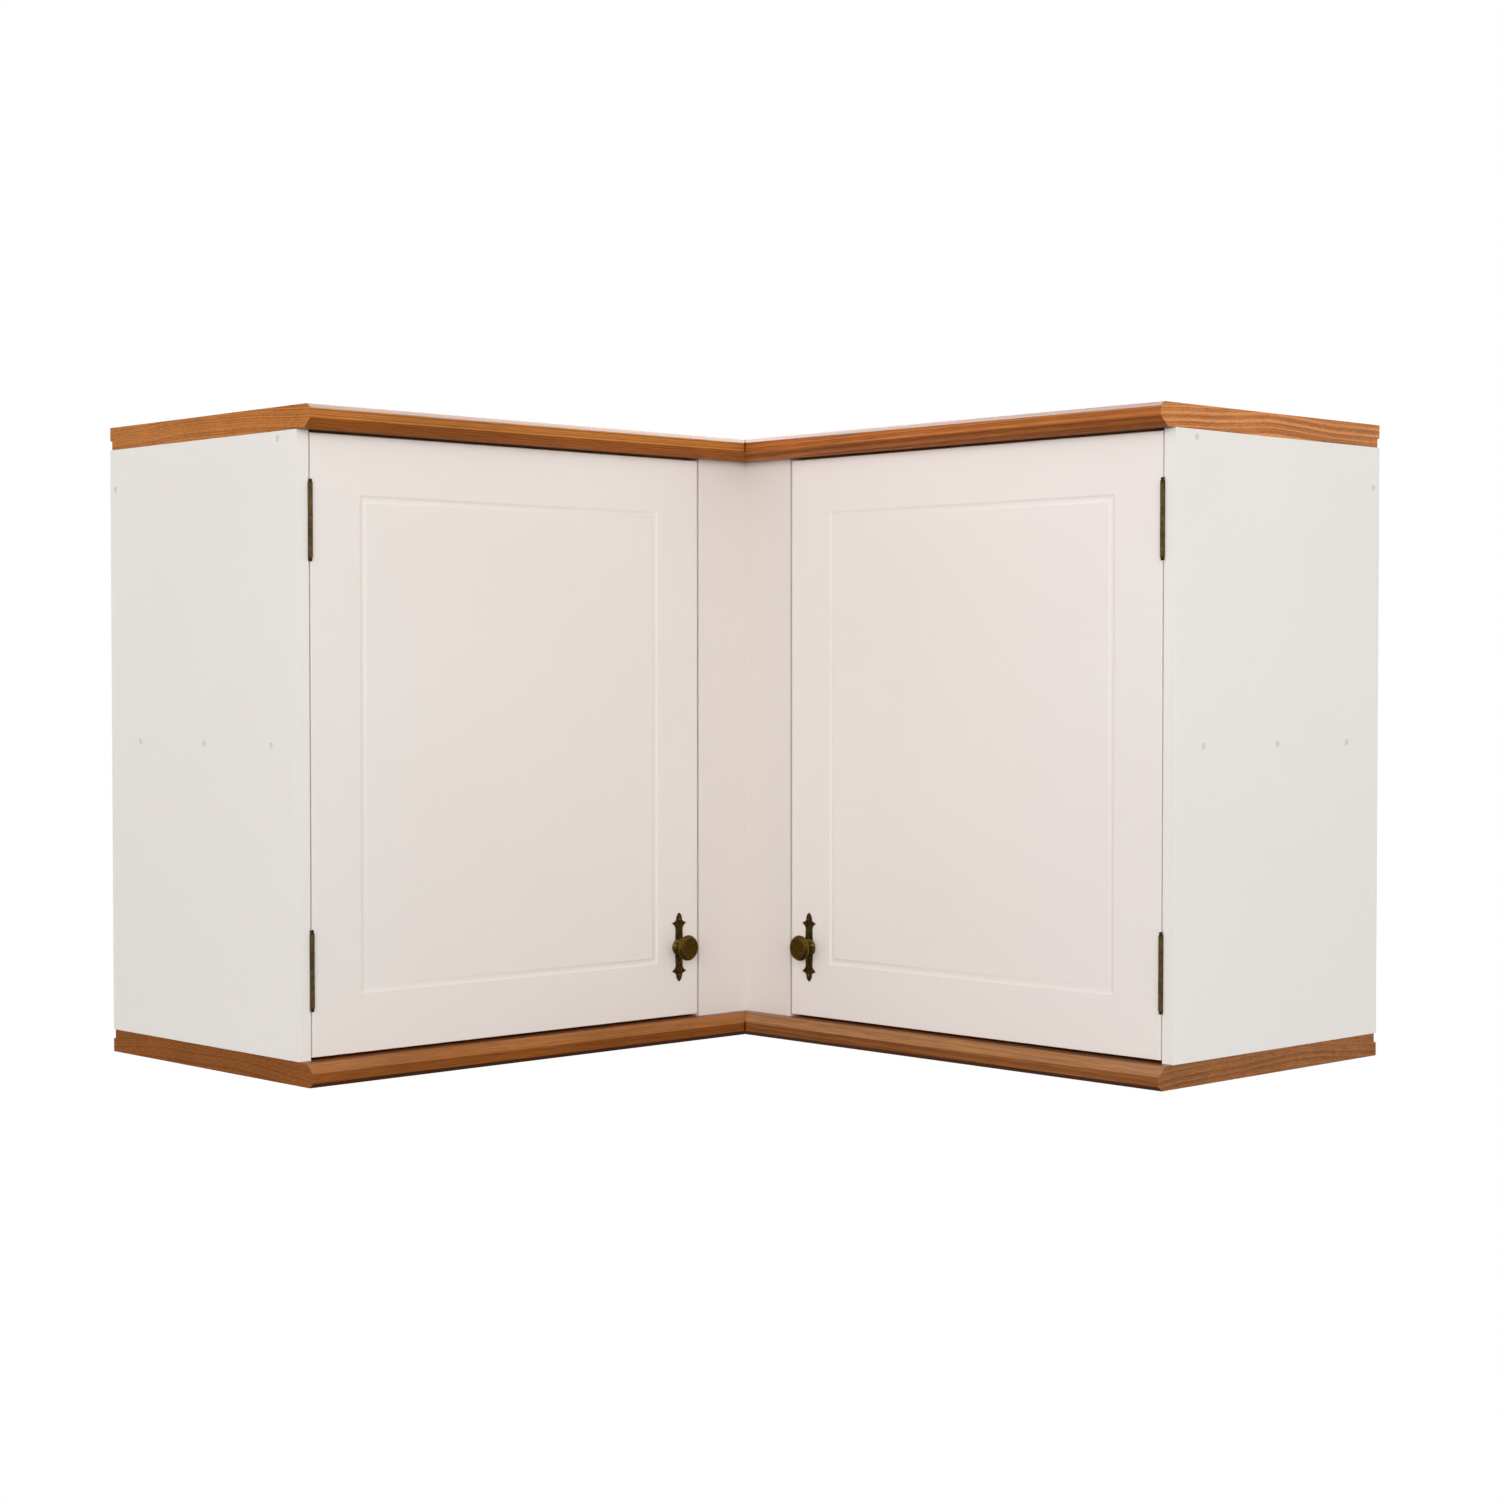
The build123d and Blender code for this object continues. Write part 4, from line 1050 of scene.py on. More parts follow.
class Bench:
    """The steps of modelling by hand, each on one piece at a time."""

    ROD_SIDES = 48
    SHARP_EDGE = math.radians(25.0)
    CUT_TOLERANCE = 1e-6
    FLAT_FACE_WEIGHT = 100

    @staticmethod
    def pick(piece: bpy.types.Object) -> None:
        """Leaves only one piece selected and active.

        Args:
            piece: the piece to work on.
        """
        bpy.ops.object.select_all(action="DESELECT")
        piece.select_set(True)
        bpy.context.view_layer.objects.active = piece

    @classmethod
    def settle(cls, piece: bpy.types.Object) -> None:
        """Lays a piece's place, turn and size into its mesh."""
        cls.pick(piece)
        bpy.ops.object.transform_apply(location=True, rotation=True, scale=True)

    @classmethod
    def take(cls, name: str) -> bpy.types.Object:
        """Names the primitive that was just added and lays its place and size into its mesh.

        Args:
            name: the piece's name.

        Returns:
            The primitive's object, unscaled and at the origin.
        """
        piece = bpy.context.object
        piece.name = piece.data.name = name
        cls.settle(piece)
        return piece

    @staticmethod
    def turn_outwards() -> None:
        """Points every face of the edited piece outwards and ends the editing."""
        bpy.ops.mesh.select_all(action="SELECT")
        bpy.ops.mesh.normals_make_consistent(inside=False)
        bpy.ops.object.mode_set(mode="OBJECT")

    @classmethod
    def block(cls, name: str, corner: Vector, other: Vector) -> bpy.types.Object:
        """A block between two opposite corners.

        Args:
            name: the piece's name.
            corner: one corner.
            other: the opposite corner.

        Returns:
            The block.
        """
        bpy.ops.object.select_all(action="DESELECT")
        size = [abs(far - near) for near, far in zip(corner, other)]
        bpy.ops.mesh.primitive_cube_add(size=1.0, location=(corner + other) / 2, scale=size)
        return cls.take(name)

    @classmethod
    def rod(cls, name: str, middle: Vector, axis: Vector, radius: float, length: float) -> bpy.types.Object:
        """A round rod about its middle.

        Args:
            name: the piece's name.
            middle: the middle of its axis.
            axis: the direction of its axis.
            radius: its radius.
            length: its whole length.

        Returns:
            The rod.
        """
        bpy.ops.object.select_all(action="DESELECT")
        turn = axis.to_track_quat("Z", "Y").to_euler()
        bpy.ops.mesh.primitive_cylinder_add(
            vertices=cls.ROD_SIDES, radius=radius, depth=length, location=middle, rotation=turn
        )
        return cls.take(name)

    @classmethod
    def cut_off(cls, piece: bpy.types.Object, place: Vector, outward: Vector) -> None:
        """Saws off what lies beyond a plane and closes the cut.

        Args:
            piece: the piece to work on.
            place: a point of the plane.
            outward: the plane's normal, towards what goes.
        """
        cls.pick(piece)
        bpy.ops.object.mode_set(mode="EDIT")
        bpy.ops.mesh.select_all(action="SELECT")
        bpy.ops.mesh.bisect(
            plane_co=place,
            plane_no=outward.normalized(),
            use_fill=True,
            clear_outer=True,
            threshold=cls.CUT_TOLERANCE,
        )
        cls.turn_outwards()

    @classmethod
    def carve(cls, piece: bpy.types.Object, cutters: Sequence[bpy.types.Object]) -> None:
        """Takes each cutter's shape out of a piece and throws the cutter away.

        Args:
            piece: the piece to work on.
            cutters: closed pieces, which are used up.
        """
        for cutter in cutters:
            cls.pick(piece)
            cut = piece.modifiers.new("cut", "BOOLEAN")
            cut.operation = "DIFFERENCE"
            cut.solver = "EXACT"
            cut.object = cutter
            bpy.ops.object.modifier_apply(modifier=cut.name)
            bpy.data.objects.remove(cutter)

    @classmethod
    def choose_face(cls, piece: bpy.types.Object, middle: Vector) -> None:
        """Leaves only the face with its middle nearest to a place selected, in edit mode.

        Args:
            piece: the piece to work on.
            middle: the place to look near.
        """
        bpy.ops.object.mode_set(mode="OBJECT")
        cls.pick(piece)
        bpy.ops.object.mode_set(mode="EDIT")
        bpy.ops.mesh.select_mode(type="FACE")
        bpy.ops.mesh.select_all(action="DESELECT")
        bpy.ops.object.mode_set(mode="OBJECT")
        nearest = min(piece.data.polygons, key=lambda face: (face.center - middle).length)
        nearest.select = True
        bpy.ops.object.mode_set(mode="EDIT")

    @classmethod
    def ease(cls, piece: bpy.types.Object, width: float, segments: int = 2) -> None:
        """Rounds a piece's sharp edges a little, as sandpaper does.

        Args:
            piece: the piece to work on.
            width: how far the rounding reaches.
            segments: the rounding's steps.
        """
        cls.pick(piece)
        bevel = piece.modifiers.new("eased_edges", "BEVEL")
        bevel.width = width
        bevel.segments = segments
        bevel.limit_method = "ANGLE"
        bevel.angle_limit = cls.SHARP_EDGE
        bevel.use_clamp_overlap = False
        bpy.ops.object.modifier_apply(modifier=bevel.name)

    @classmethod
    def turned(cls, name: str, rings: Sequence[tuple[float, float]], around: int = 64) -> bpy.types.Object:
        """A piece turned on a lathe, with its axis on Z.

        Args:
            name: the piece's name.
            rings: the radius and the height of each ring from the foot to the top.
            around: points round each ring.

        Returns:
            The closed piece.
        """
        radius, height = rings[0]
        bpy.ops.object.select_all(action="DESELECT")
        bpy.ops.mesh.primitive_circle_add(
            vertices=around, radius=radius, fill_type="NGON", location=(0, 0, height)
        )
        piece = cls.take(name)
        bpy.ops.object.mode_set(mode="EDIT")
        bpy.ops.mesh.select_all(action="SELECT")
        for next_radius, next_height in rings[1:]:
            step = (0, 0, next_height - height)
            bpy.ops.mesh.extrude_region_move(TRANSFORM_OT_translate={"value": step})
            if next_radius:
                scale = next_radius / radius
                bpy.ops.transform.resize(value=(scale, scale, 1.0), center_override=(0, 0, next_height))
            else:
                bpy.ops.mesh.merge(type="CENTER")
            radius, height = next_radius, next_height
        cls.turn_outwards()
        return piece

    @classmethod
    def smooth(cls, piece: bpy.types.Object, crease: Crease = Crease.SAWN) -> None:
        """Shades rounded faces smoothly, keeps broad faces flat and sharp edges sharp.

        Args:
            piece: the piece to work on.
            crease: from which angle its edges stay sharp.
        """
        cls.pick(piece)
        bpy.ops.object.shade_smooth_by_angle(angle=math.radians(crease.value))
        normals = piece.modifiers.new("flat_faces", "WEIGHTED_NORMAL")
        normals.keep_sharp = True
        normals.weight = cls.FLAT_FACE_WEIGHT
        bpy.ops.object.modifier_apply(modifier=normals.name)

    @classmethod
    def join(cls, first: bpy.types.Object, others: Sequence[bpy.types.Object]) -> None:
        """Makes several pieces one.

        Args:
            first: the piece that takes up the rest.
            others: the pieces that go into it.
        """
        cls.pick(first)
        for other in others:
            other.select_set(True)
        bpy.ops.object.join()

    @classmethod
    def copy(cls, piece: bpy.types.Object, name: str, place: Matrix) -> bpy.types.Object:
        """Copies a finished piece to a place, with a mesh of its own.

        Args:
            piece: the piece to copy.
            name: the copy's name.
            place: where the piece's own origin and axes go.

        Returns:
            The copy, whose object stays at the origin.
        """
        made = piece.copy()
        made.data = piece.data.copy()
        made.name = made.data.name = name
        bpy.context.scene.collection.objects.link(made)
        made.matrix_world = place
        cls.settle(made)
        return made


def fit(piece: bpy.types.Object, finish: Finish, body: str, node: str) -> None:
    """Dresses a new piece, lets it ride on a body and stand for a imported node.

    Args:
        piece: the finished piece.
        finish: what it is dressed in.
        body: the moving part that carries it.
        node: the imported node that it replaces.
    """
    finish.dress(piece)
    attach(piece, body)
    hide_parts(node)
    LOG.info("%s stands for %s: %s", piece.name, node, finish.name)


# ---- Places and cutters of the hinges ----


@dataclass(frozen=True)
class HingeSizes:
    """The sizes of a butt hinge, its places on an arm and the room that is cut for it."""

    cabinet: CabinetSizes
    inset: float = 90 * MM
    barrel_length: float = 77 * MM
    barrel_radius: float = 2.4 * MM
    barrel_proud: float = 1.5 * MM
    pin_radius: float = 1.1 * MM
    finial: float = 4 * MM
    gain_clearance: float = 0.5 * MM
    leaf_width: float = 14 * MM
    leaf_sunk: float = 0.4 * MM

    @property
    def levels(self) -> dict[str, float]:
        """The names and heights of an arm's hinges, from below."""
        return {"lower": self.cabinet.door_low + self.inset, "upper": self.cabinet.door_high - self.inset}

    def pin(self, arm: Arm, level: float) -> Vector:
        """The middle of the pin at a height: halfway over the gap and proud of the door."""
        run = self.cabinet.door_hinge + self.cabinet.gap_hinge / 2
        return arm.point(run, self.cabinet.depth + self.barrel_proud, level)

    def gain(self, arm: Arm, level: float) -> bpy.types.Object:
        """The cutter that clears a way for the barrel and its finials."""
        length = self.barrel_length + 2 * (self.finial + self.gain_clearance)
        return Bench.rod("gain", self.pin(arm, level), UP, self.barrel_radius + self.gain_clearance, length)

    def leaf_seat(self, arm: Arm, level: float) -> bpy.types.Object:
        """The cutter that lets a leaf into a door's hinge edge.

        Args:
            arm: the door's arm.
            level: the height of the hinge's middle.

        Returns:
            The cutter.
        """
        half = UP * (self.barrel_length / 2)
        run, out = self.cabinet.door_hinge - self.leaf_sunk, self.cabinet.depth - self.leaf_width
        return Bench.block("leaf_seat", arm.point(run, out, level) - half, self.pin(arm, level) + half)


# ---- Carcass ----


@dataclass
class Carcass:
    """The moulded boards, the end panels and the fixed fillers in the inner corner."""

    cabinet: CabinetSizes
    hinges: HingeSizes
    soffit_overhang: float = 14 * MM
    nose_overhang: float = 25 * MM
    outer_overhang: float = 19 * MM
    inner_chamfer: float = 10 * MM
    outer_chamfer: float = 5 * MM
    board_rebate: float = 10 * MM
    side_rebate: float = 8 * MM
    wood_edge: float = 0.5 * MM
    worn_mitre: float = 2.4 * MM
    panel_edge: float = 0.3 * MM
    filler_edge: float = 0.15 * MM
    plug_radius: float = 2.7 * MM
    plug_depth: float = 1.5 * MM
    plug_ring: float = 0.4 * MM
    plug_shoulder: float = 0.5 * MM
    plug_rim: float = 0.25 * MM
    plug_sunk: float = 0.2 * MM
    plug_spots: tuple[tuple[float, float], ...] = (
        (61 * MM, 350 * MM),
        (189.5 * MM, 350 * MM),
        (318 * MM, 350 * MM),
        (332 * MM, 667 * MM),
        (12 * MM, 630 * MM),
    )

    def height_at(self, level: Level, beyond: float) -> float:
        """The height of a point that lies a distance beyond a board's inner face."""
        return self.cabinet.soffit + beyond if level is Level.TOP else self.cabinet.board - beyond

    def moulded_board(self, arm: Arm, level: Level) -> bpy.types.Object:
        """Saws, moulds, mitres and rebates one board of an arm.

        Args:
            arm: the board's arm.
            level: whether it is the top or the bottom board.

        Returns:
            The board with eased edges.
        """
        sizes = self.cabinet
        outward = UP if level is Level.TOP else -UP
        nose = sizes.depth + self.nose_overhang
        inner, outer = self.height_at(level, 0.0), self.height_at(level, sizes.board)
        rebate_end = self.height_at(level, self.board_rebate)
        piece = Bench.block(
            f"moulded_{level.value}_board_{arm.name}",
            arm.point(0, 0, inner),
            arm.point(sizes.arm_length, nose, outer),
        )
        inner_slope = arm.out * self.inner_chamfer - outward * (self.nose_overhang - self.soffit_overhang)
        outer_slope = arm.out * self.outer_chamfer + outward * (self.nose_overhang - self.outer_overhang)
        # The worn slope faces halfway between the board's front and its mitre.
        worn_slope = arm.out * (1 + math.sqrt(2)) - arm.run
        Bench.cut_off(piece, arm.point(0, sizes.depth + self.soffit_overhang, inner), inner_slope)
        Bench.cut_off(piece, arm.point(0, sizes.depth + self.outer_overhang, outer), outer_slope)
        Bench.cut_off(piece, Vector(ZERO), arm.out - arm.run)
        Bench.cut_off(piece, arm.point(nose + self.worn_mitre, nose, inner), worn_slope)
        rebate = Bench.block(
            "rebate",
            arm.point(-sizes.board, -sizes.board, self.height_at(level, -sizes.board)),
            arm.point(sizes.arm_length + sizes.board, sizes.back_thickness, rebate_end),
        )
        Bench.carve(piece, [rebate])
        Bench.ease(piece, self.wood_edge)
        Bench.smooth(piece)
        return piece

    def end_panel(self, arm: Arm) -> bpy.types.Object:
        """The closed end of an arm, cut for the back panel, the hinges and the plugs.

        Args:
            arm: the panel's arm.

        Returns:
            The panel with eased edges.
        """
        sizes = self.cabinet
        inner = sizes.panel_face
        piece = Bench.block(
            f"end_panel_{arm.name}",
            arm.point(inner, 0, sizes.board),
            arm.point(sizes.arm_length, sizes.depth, sizes.soffit),
        )
        Bench.ease(piece, self.panel_edge, segments=3)
        rebate = Bench.block(
            "rebate",
            arm.point(inner - sizes.board, -sizes.board, 0),
            arm.point(inner + self.side_rebate, sizes.back_thickness, sizes.height),
        )
        gains = [self.hinges.gain(arm, level) for level in self.hinges.levels.values()]
        radius, length = self.plug_radius + self.plug_ring, 2 * self.plug_depth
        seats = [
            Bench.rod("plug_seat", arm.point(sizes.arm_length, out, rise), arm.run, radius, length)
            for out, rise in self.plug_spots
        ]
        Bench.carve(piece, [rebate, *gains, *seats])
        Bench.smooth(piece)
        return piece

    def filler(self, arm: Arm) -> bpy.types.Object:
        """The fixed strip beside the inner corner; the left one runs behind the right one.

        Args:
            arm: the filler's arm.

        Returns:
            The strip with eased edges.
        """
        sizes = self.cabinet
        start = sizes.inner_face if arm.side is Side.LEFT else sizes.depth
        piece = Bench.block(
            f"corner_filler_{arm.name}",
            arm.point(start, sizes.inner_face, sizes.board),
            arm.point(sizes.depth + sizes.filler_width, sizes.depth, sizes.soffit),
        )
        Bench.ease(piece, self.filler_edge)
        Bench.smooth(piece)
        return piece

    def plugs(self) -> bpy.types.Object:
        """The painted plugs over the screws of both end panels, in one piece.

        Returns:
            The plugs, joined.
        """
        radius, sunk = self.plug_radius, self.plug_sunk
        profile = [
            (radius, -self.plug_depth),
            (radius, -self.plug_shoulder),
            (radius - sunk, -self.plug_rim),
            (radius / 2, -sunk),
            (0.0, -sunk),
        ]
        template = Bench.turned("plug", profile, around=32)
        made = []
        for arm in ARMS:
            turn = arm.run.to_track_quat("Z", "Y").to_matrix().to_4x4()
            for out, rise in self.plug_spots:
                place = Matrix.Translation(arm.point(self.cabinet.arm_length, out, rise)) @ turn
                made.append(Bench.copy(template, "plug", place))
        bpy.data.objects.remove(template)
        Bench.join(made[0], made[1:])
        made[0].name = made[0].data.name = "painted_plugs"
        Bench.smooth(made[0])
        return made[0]

    def build(self) -> None:
        """Builds and dresses the whole carcass."""
        for arm in ARMS:
            for level in Level:
                node = f"{level.value}_board_{arm.name}"
                fit(self.moulded_board(arm, level), STAINED[node], "root", node)
            # The right end panel's paint holds painted light and the fillers' paint painted shade.
            fit(self.end_panel(arm), PANEL_PAINTS[arm.side], "root", f"side_panel_{arm.name}")
            fit(self.filler(arm), FILLER_PAINT_WITH_PAINTED_SHADE, "root", f"filler_{arm.name}")
        fit(self.plugs(), SCREW_FILLER, "root", "screw_plugs")


# ---- Doors ----


@dataclass
class Doors:
    """The two doors: eased slabs with a shallow routed groove, let in for their hinges."""

    cabinet: CabinetSizes
    hinges: HingeSizes
    edge: float = 0.8 * MM
    groove_inset: float = 61.5 * MM
    groove_half: float = 4.2 * MM
    groove_depth: float = 1.1 * MM
    groove_steps: int = 6
    corner_steps: int = 6
    corner_clearance: float = 0.3 * MM

    def groove_fall(self) -> list[tuple[float, float]]:
        """The steps from the groove's lip to its bottom, along an arc.

        Returns:
            How far each step goes inwards and how far it goes down.
        """
        half, depth = self.groove_half, self.groove_depth
        radius = (half**2 + depth**2) / (2 * depth)
        widest = math.asin(half / radius)
        angles = [widest * (1 - i / self.groove_steps) for i in range(self.groove_steps + 1)]
        places = [
            (half - radius * math.sin(angle), radius * (math.cos(angle) - math.cos(widest)))
            for angle in angles
        ]
        return [(after[0] - here[0], after[1] - here[1]) for here, after in zip(places, places[1:])]

    def rout(self, piece: bpy.types.Object, arm: Arm) -> None:
        """Runs the groove round the panel: its outer corners turn round and its inner ones sharp.

        Args:
            piece: the door's slab.
            arm: the door's arm.
        """
        sizes = self.cabinet
        run, up = (sizes.door_latch + sizes.door_hinge) / 2, (sizes.door_low + sizes.door_high) / 2
        middle = arm.point(run, sizes.depth, up)
        fall = self.groove_fall()
        rounding = self.groove_half + self.corner_clearance
        Bench.choose_face(piece, middle)
        bpy.ops.mesh.inset(thickness=self.groove_inset - self.edge, depth=0.0)
        bpy.ops.mesh.bevel(affect="VERTICES", offset=rounding, segments=self.corner_steps)
        Bench.choose_face(piece, middle)
        for inwards, down in fall:
            bpy.ops.mesh.inset(thickness=inwards, depth=-down)
        bpy.ops.mesh.remove_doubles(threshold=self.groove_half)
        Bench.choose_face(piece, middle - arm.out * self.groove_depth)
        for inwards, down in reversed(fall):
            bpy.ops.mesh.inset(thickness=inwards, depth=down)
        bpy.ops.object.mode_set(mode="OBJECT")

    def door(self, arm: Arm) -> bpy.types.Object:
        """Cuts, routes and lets in one door.

        Args:
            arm: the door's arm.

        Returns:
            The finished slab.
        """
        sizes = self.cabinet
        piece = Bench.block(
            f"routed_door_{arm.name}",
            arm.point(sizes.door_latch, sizes.inner_face, sizes.door_low),
            arm.point(sizes.door_hinge, sizes.depth, sizes.door_high),
        )
        Bench.ease(piece, self.edge, segments=3)
        self.rout(piece, arm)
        for level in self.hinges.levels.values():
            Bench.carve(piece, [self.hinges.gain(arm, level), self.hinges.leaf_seat(arm, level)])
        Bench.smooth(piece)
        return piece

    def build(self) -> None:
        """Builds and dresses both doors."""
        for arm in ARMS:
            name = f"door_{arm.name}"
            # The right door's paint holds painted light.
            fit(self.door(arm), DOOR_PAINTS[arm.side], name, name)


# ---- Knobs ----


@dataclass
class KnobSet:
    """A turned knob on its long shaped backplate, held by two small round nails."""

    cabinet: CabinetSizes
    knob_to_latch: float = 29.5 * MM
    knob_rise: float = 80 * MM
    plate_length: float = 80 * MM
    plate_thickness: float = 1.6 * MM
    plate_waist: float = 10 * MM
    plate_root: float = 12 * MM
    wing_span: float = 22 * MM
    wing_rise: float = 28 * MM
    plate_edge: float = 0.45 * MM
    plate_edge_steps: int = 3
    plate_curve_steps: int = 10
    nail_rise: float = 32.5 * MM
    nail_radius: float = 1.5 * MM
    nail_height: float = 1.425 * MM
    nail_sunk: float = 0.05 * MM
    nail_steps: int = 6
    boss_radius: float = 10 * MM
    boss_height: float = 6 * MM
    neck_radius: float = 4.4 * MM
    disc_radius: float = 14.8 * MM
    disc_back: float = 14 * MM
    disc_rim: float = 4 * MM
    disc_front: float = 20.5 * MM
    dish: float = 0.9 * MM

    def knob(self) -> bpy.types.Object:
        """The knob, turned from the foot of its neck to the hollow of its face.

        Returns:
            The knob, with its axis on Z.
        """
        neck, disc = self.neck_radius, self.disc_radius
        back, front = self.disc_back, self.disc_front
        rim = back + self.disc_rim
        rings = [
            (neck, self.boss_height),
            (0.90 * neck, 7.2 * MM),
            (0.83 * neck, 8.6 * MM),
            (0.82 * neck, 9.8 * MM),
            (0.90 * neck, 11.2 * MM),
            (1.06 * neck, 12.3 * MM),
            (1.25 * neck, back - 1.0 * MM),
            (1.60 * neck, back - 0.85 * MM),
            (0.78 * disc, back + 0.05 * MM),
            (0.92 * disc, back + 0.45 * MM),
            (0.965 * disc, back + 0.80 * MM),
            (0.99 * disc, back + 1.5 * MM),
            (disc, back + 2.2 * MM),
            (0.99 * disc, back + 3.0 * MM),
            (0.965 * disc, rim - 0.25 * MM),
            (0.945 * disc, rim + 0.10 * MM),
            (0.925 * disc, rim + 0.20 * MM),
            (0.90 * disc, rim + 0.75 * MM),
            (0.86 * disc, front - 0.75 * MM),
            (0.82 * disc, front - 0.20 * MM),
            (0.79 * disc, front),
            (0.76 * disc, front - 0.06 * MM),
            (0.73 * disc, front - 0.22 * MM),
            (0.62 * disc, front - 0.45 * self.dish),
            (0.45 * disc, front - 0.72 * self.dish),
            (0.25 * disc, front - 0.93 * self.dish),
            (0.08 * disc, front - self.dish),
            (0.0, front - self.dish),
        ]
        piece = Bench.turned("turned_knob", rings, around=96)
        Bench.smooth(piece, Crease.TURNED)
        return piece

    def plate_outline(self) -> list[tuple[Vector, Vector | None]]:
        """The backplate's outline, once round, drawn in shares of the wings' and the waist's half width.

        Returns:
            Each corner with the point that the arc to the next corner passes, or with
            nothing where the edge is straight.
        """
        span, waist, half = self.wing_span / 2, self.plate_waist / 2, self.plate_length / 2
        neck_rise = self.wing_rise - 0.6 * span
        shoulder = (self.nail_rise + self.wing_rise) / 2 + 0.2 * waist
        corners = [
            (self.plate_root / 2, 0.0),
            (waist, neck_rise),
            (span, self.wing_rise),
            (0.86 * waist, shoulder),
            (0.0, half),
        ]
        bends = [
            None,
            (0.62 * span, self.wing_rise - 0.27 * span),
            (0.6 * span, self.wing_rise + 0.17 * span),
            (0.62 * waist, (shoulder + half) / 2 + 0.2 * waist),
        ]
        path: list[tuple[Vector, Vector | None]] = []
        for flip_x, flip_y in ((1, 1), (-1, 1), (-1, -1), (1, -1)):
            turned_round = flip_x * flip_y < 0
            stops = corners[::-1] if turned_round else corners
            arcs = bends[::-1] if turned_round else bends
            for stop, arc in zip(stops[:-1], arcs):
                through = Vector((arc[0] * flip_x, arc[1] * flip_y, 0)) if arc else None
                path.append((Vector((stop[0] * flip_x, stop[1] * flip_y, 0)), through))
        return path

    def backplate(self) -> bpy.types.Object:
        """The flat plate with rounded edges, from one closed curve.

        Returns:
            The plate, flat on Z = 0.
        """
        path = self.plate_outline()
        reach = 2 / 3  # how far a handle goes towards the one control point of its arc
        bpy.ops.object.select_all(action="DESELECT")
        bpy.ops.curve.primitive_bezier_circle_add(radius=self.plate_length / 2)
        outline = bpy.context.object
        shape = outline.data
        shape.dimensions = "2D"
        shape.fill_mode = "BOTH"
        shape.resolution_u = self.plate_curve_steps
        points = shape.splines[0].bezier_points
        points.add(len(path) - len(points))
        for index, (corner, through) in enumerate(path):
            here, after = points[index], points[(index + 1) % len(path)]
            following = path[(index + 1) % len(path)][0]
            chord = (corner + following) / 2
            control = 2 * through - chord if through else chord
            here.handle_left_type = here.handle_right_type = "FREE"
            here.co = corner
            here.handle_right = corner + (control - corner) * reach
            after.handle_left_type = after.handle_right_type = "FREE"
            after.handle_left = following + (control - following) * reach
        shape.offset = -self.plate_edge
        shape.bevel_depth = self.plate_edge
        shape.bevel_resolution = self.plate_edge_steps
        shape.extrude = self.plate_thickness / 2 - self.plate_edge
        outline.location.z = self.plate_thickness / 2
        bpy.ops.object.convert(target="MESH")
        piece = Bench.take("shaped_backplate")
        Bench.smooth(piece, Crease.TURNED)
        return piece

    def boss(self) -> bpy.types.Object:
        """The domed boss in the middle of the plate, which carries the knob.

        Returns:
            The boss, with its axis on Z.
        """
        boss, rise, neck = self.boss_radius, self.boss_height, self.neck_radius
        foot = self.plate_thickness
        rings = [
            (boss, 0.1 * MM),
            (boss, foot + 0.2 * MM),
            (0.985 * boss, foot + 0.50 * MM),
            (0.96 * boss, foot + 0.62 * MM),
            (0.945 * boss, foot + 0.75 * MM),
            (0.93 * boss, foot + 1.15 * MM),
            (0.885 * boss, foot + 1.80 * MM),
            (0.81 * boss, foot + 2.55 * MM),
            (0.71 * boss, foot + 3.25 * MM),
            (0.59 * boss, foot + 3.85 * MM),
            (0.50 * boss, rise - 0.20 * MM),
            (1.02 * neck, rise),
            (0.0, rise),
        ]
        piece = Bench.turned("domed_boss", rings)
        Bench.smooth(piece, Crease.TURNED)
        return piece

    def nails(self) -> bpy.types.Object:
        """The two round nail heads, one at each end of the plate.

        Returns:
            The heads, joined, on the plate's front.
        """
        angles = [step * QUARTER / self.nail_steps for step in range(self.nail_steps)]
        radius, height = self.nail_radius, self.nail_height
        dome = [(radius * math.cos(angle), height * math.sin(angle)) for angle in angles]
        made = []
        for rise in (-self.nail_rise, self.nail_rise):
            head = Bench.turned("nail", [*dome, (0.0, height)], around=24)
            head.location = (0, rise, self.plate_thickness - self.nail_sunk)
            Bench.settle(head)
            made.append(head)
        Bench.join(made[0], made[1:])
        Bench.smooth(made[0], Crease.NAIL_HEAD)
        return made[0]

    def build(self) -> None:
        """Makes one set and fits a copy to each door."""
        parts = (
            ("knob", "knob", self.knob(), BRONZE),
            ("backplate", "backplate", self.backplate(), PLATE_BRONZE),
            ("boss", "backplate", self.boss(), BOSS_BRONZE),
            ("backplate_nails", "backplate_nails", self.nails(), NAIL_BRONZE),
        )
        run, up = self.cabinet.door_latch + self.knob_to_latch, self.cabinet.door_low + self.knob_rise
        for arm in ARMS:
            place = arm.facing(arm.point(run, self.cabinet.depth, up))
            for name, node, template, finish in parts:
                piece = Bench.copy(template, f"fitted_{name}_{arm.name}", place)
                fit(piece, finish, f"door_{arm.name}", f"{node}_{arm.name}")
        for _, _, template, _ in parts:
            bpy.data.objects.remove(template)


# ---- Hinges ----


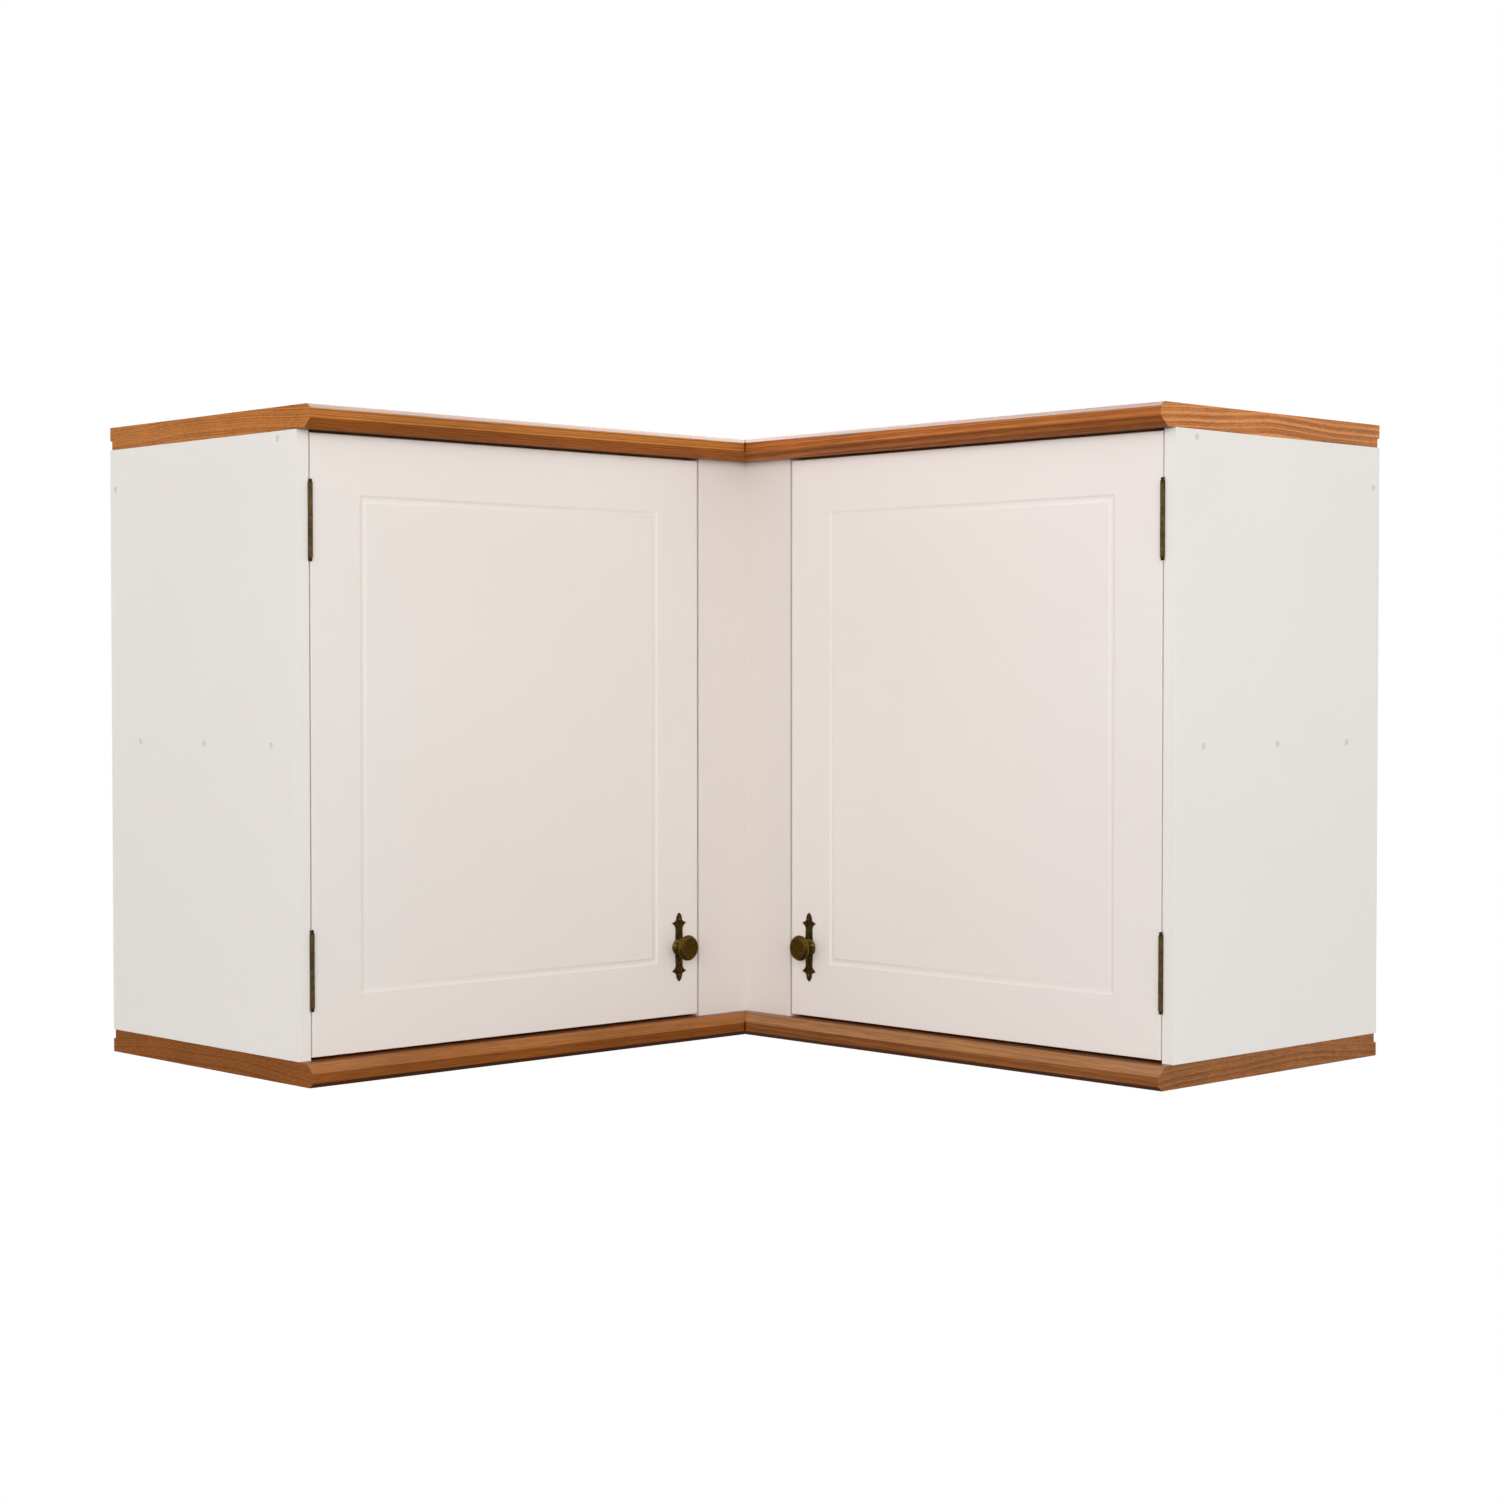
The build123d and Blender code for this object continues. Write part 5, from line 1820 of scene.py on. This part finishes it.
@dataclass
class HingePins:
    """The pins of the four butt hinges, with a turned finial at each end."""

    hinges: HingeSizes

    def pin(self) -> bpy.types.Object:
        """One pin along Z: a plain shank with a cap, a waist and a button at each end.

        Returns:
            The pin, with its middle at the origin.
        """
        cap, tall, half = self.hinges.barrel_radius, self.hinges.finial, self.hinges.barrel_length / 2
        finial = [
            (0.84 * cap, 0.0),
            (0.90 * cap, 0.05 * tall),
            (0.90 * cap, 0.17 * tall),
            (0.80 * cap, 0.22 * tall),
            (0.52 * cap, 0.28 * tall),
            (0.50 * cap, 0.36 * tall),
            (0.62 * cap, 0.42 * tall),
            (0.76 * cap, 0.50 * tall),
            (0.80 * cap, 0.60 * tall),
            (0.76 * cap, 0.72 * tall),
            (0.62 * cap, 0.85 * tall),
            (0.38 * cap, 0.95 * tall),
            (0.15 * cap, 0.99 * tall),
        ]
        upper = [(radius, half + rise) for radius, rise in finial]
        lower = [(radius, -half - rise) for radius, rise in reversed(finial)]
        shank = [(self.hinges.pin_radius, -half), (self.hinges.pin_radius, half)]
        piece = Bench.turned("hinge_pin", [*lower, *shank, *upper, (0.0, half + tall)], around=32)
        Bench.smooth(piece, Crease.TURNED)
        return piece

    def build(self) -> None:
        """Makes one pin and puts a copy in each hinge."""
        template = self.pin()
        for arm in ARMS:
            for name, level in self.hinges.levels.items():
                place = Matrix.Translation(self.hinges.pin(arm, level))
                piece = Bench.copy(template, f"turned_pin_{arm.name}_{name}", place)
                fit(piece, FINIAL_BRONZE, "root", f"hinge_pin_{arm.name}_{name}")
        bpy.data.objects.remove(template)


# ---- The frame's own pieces ----


@dataclass
class CarriedPieces:
    """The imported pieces, by the names of their nodes, and the slot of each."""

    nodes: dict[str, bpy.types.Object]
    slots: dict[str, str]

    def dress(self) -> None:
        """Gives each node its finish, also where a new piece stands for it later."""
        for name, node in self.nodes.items():
            finish = STAINED.get(name) or BY_SLOT[self.slots[name]]
            finish.dress(node)
            LOG.info("%s: %s", name, finish.name)


def main() -> None:
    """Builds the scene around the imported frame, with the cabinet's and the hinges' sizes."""
    logging.basicConfig(level=logging.INFO, format="%(name)s %(message)s")
    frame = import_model()
    slots = {entry["node"]: entry["material_slot"] for entry in frame["record"]["subparts"]}
    cabinet = CabinetSizes()
    hinges = HingeSizes(cabinet)
    Studio().build()
    CarriedPieces(frame["nodes"], slots).dress()
    Carcass(cabinet, hinges).build()
    Doors(cabinet, hinges).build()
    KnobSet(cabinet).build()
    HingePins(hinges).build()


if __name__ == "__main__":
    main()
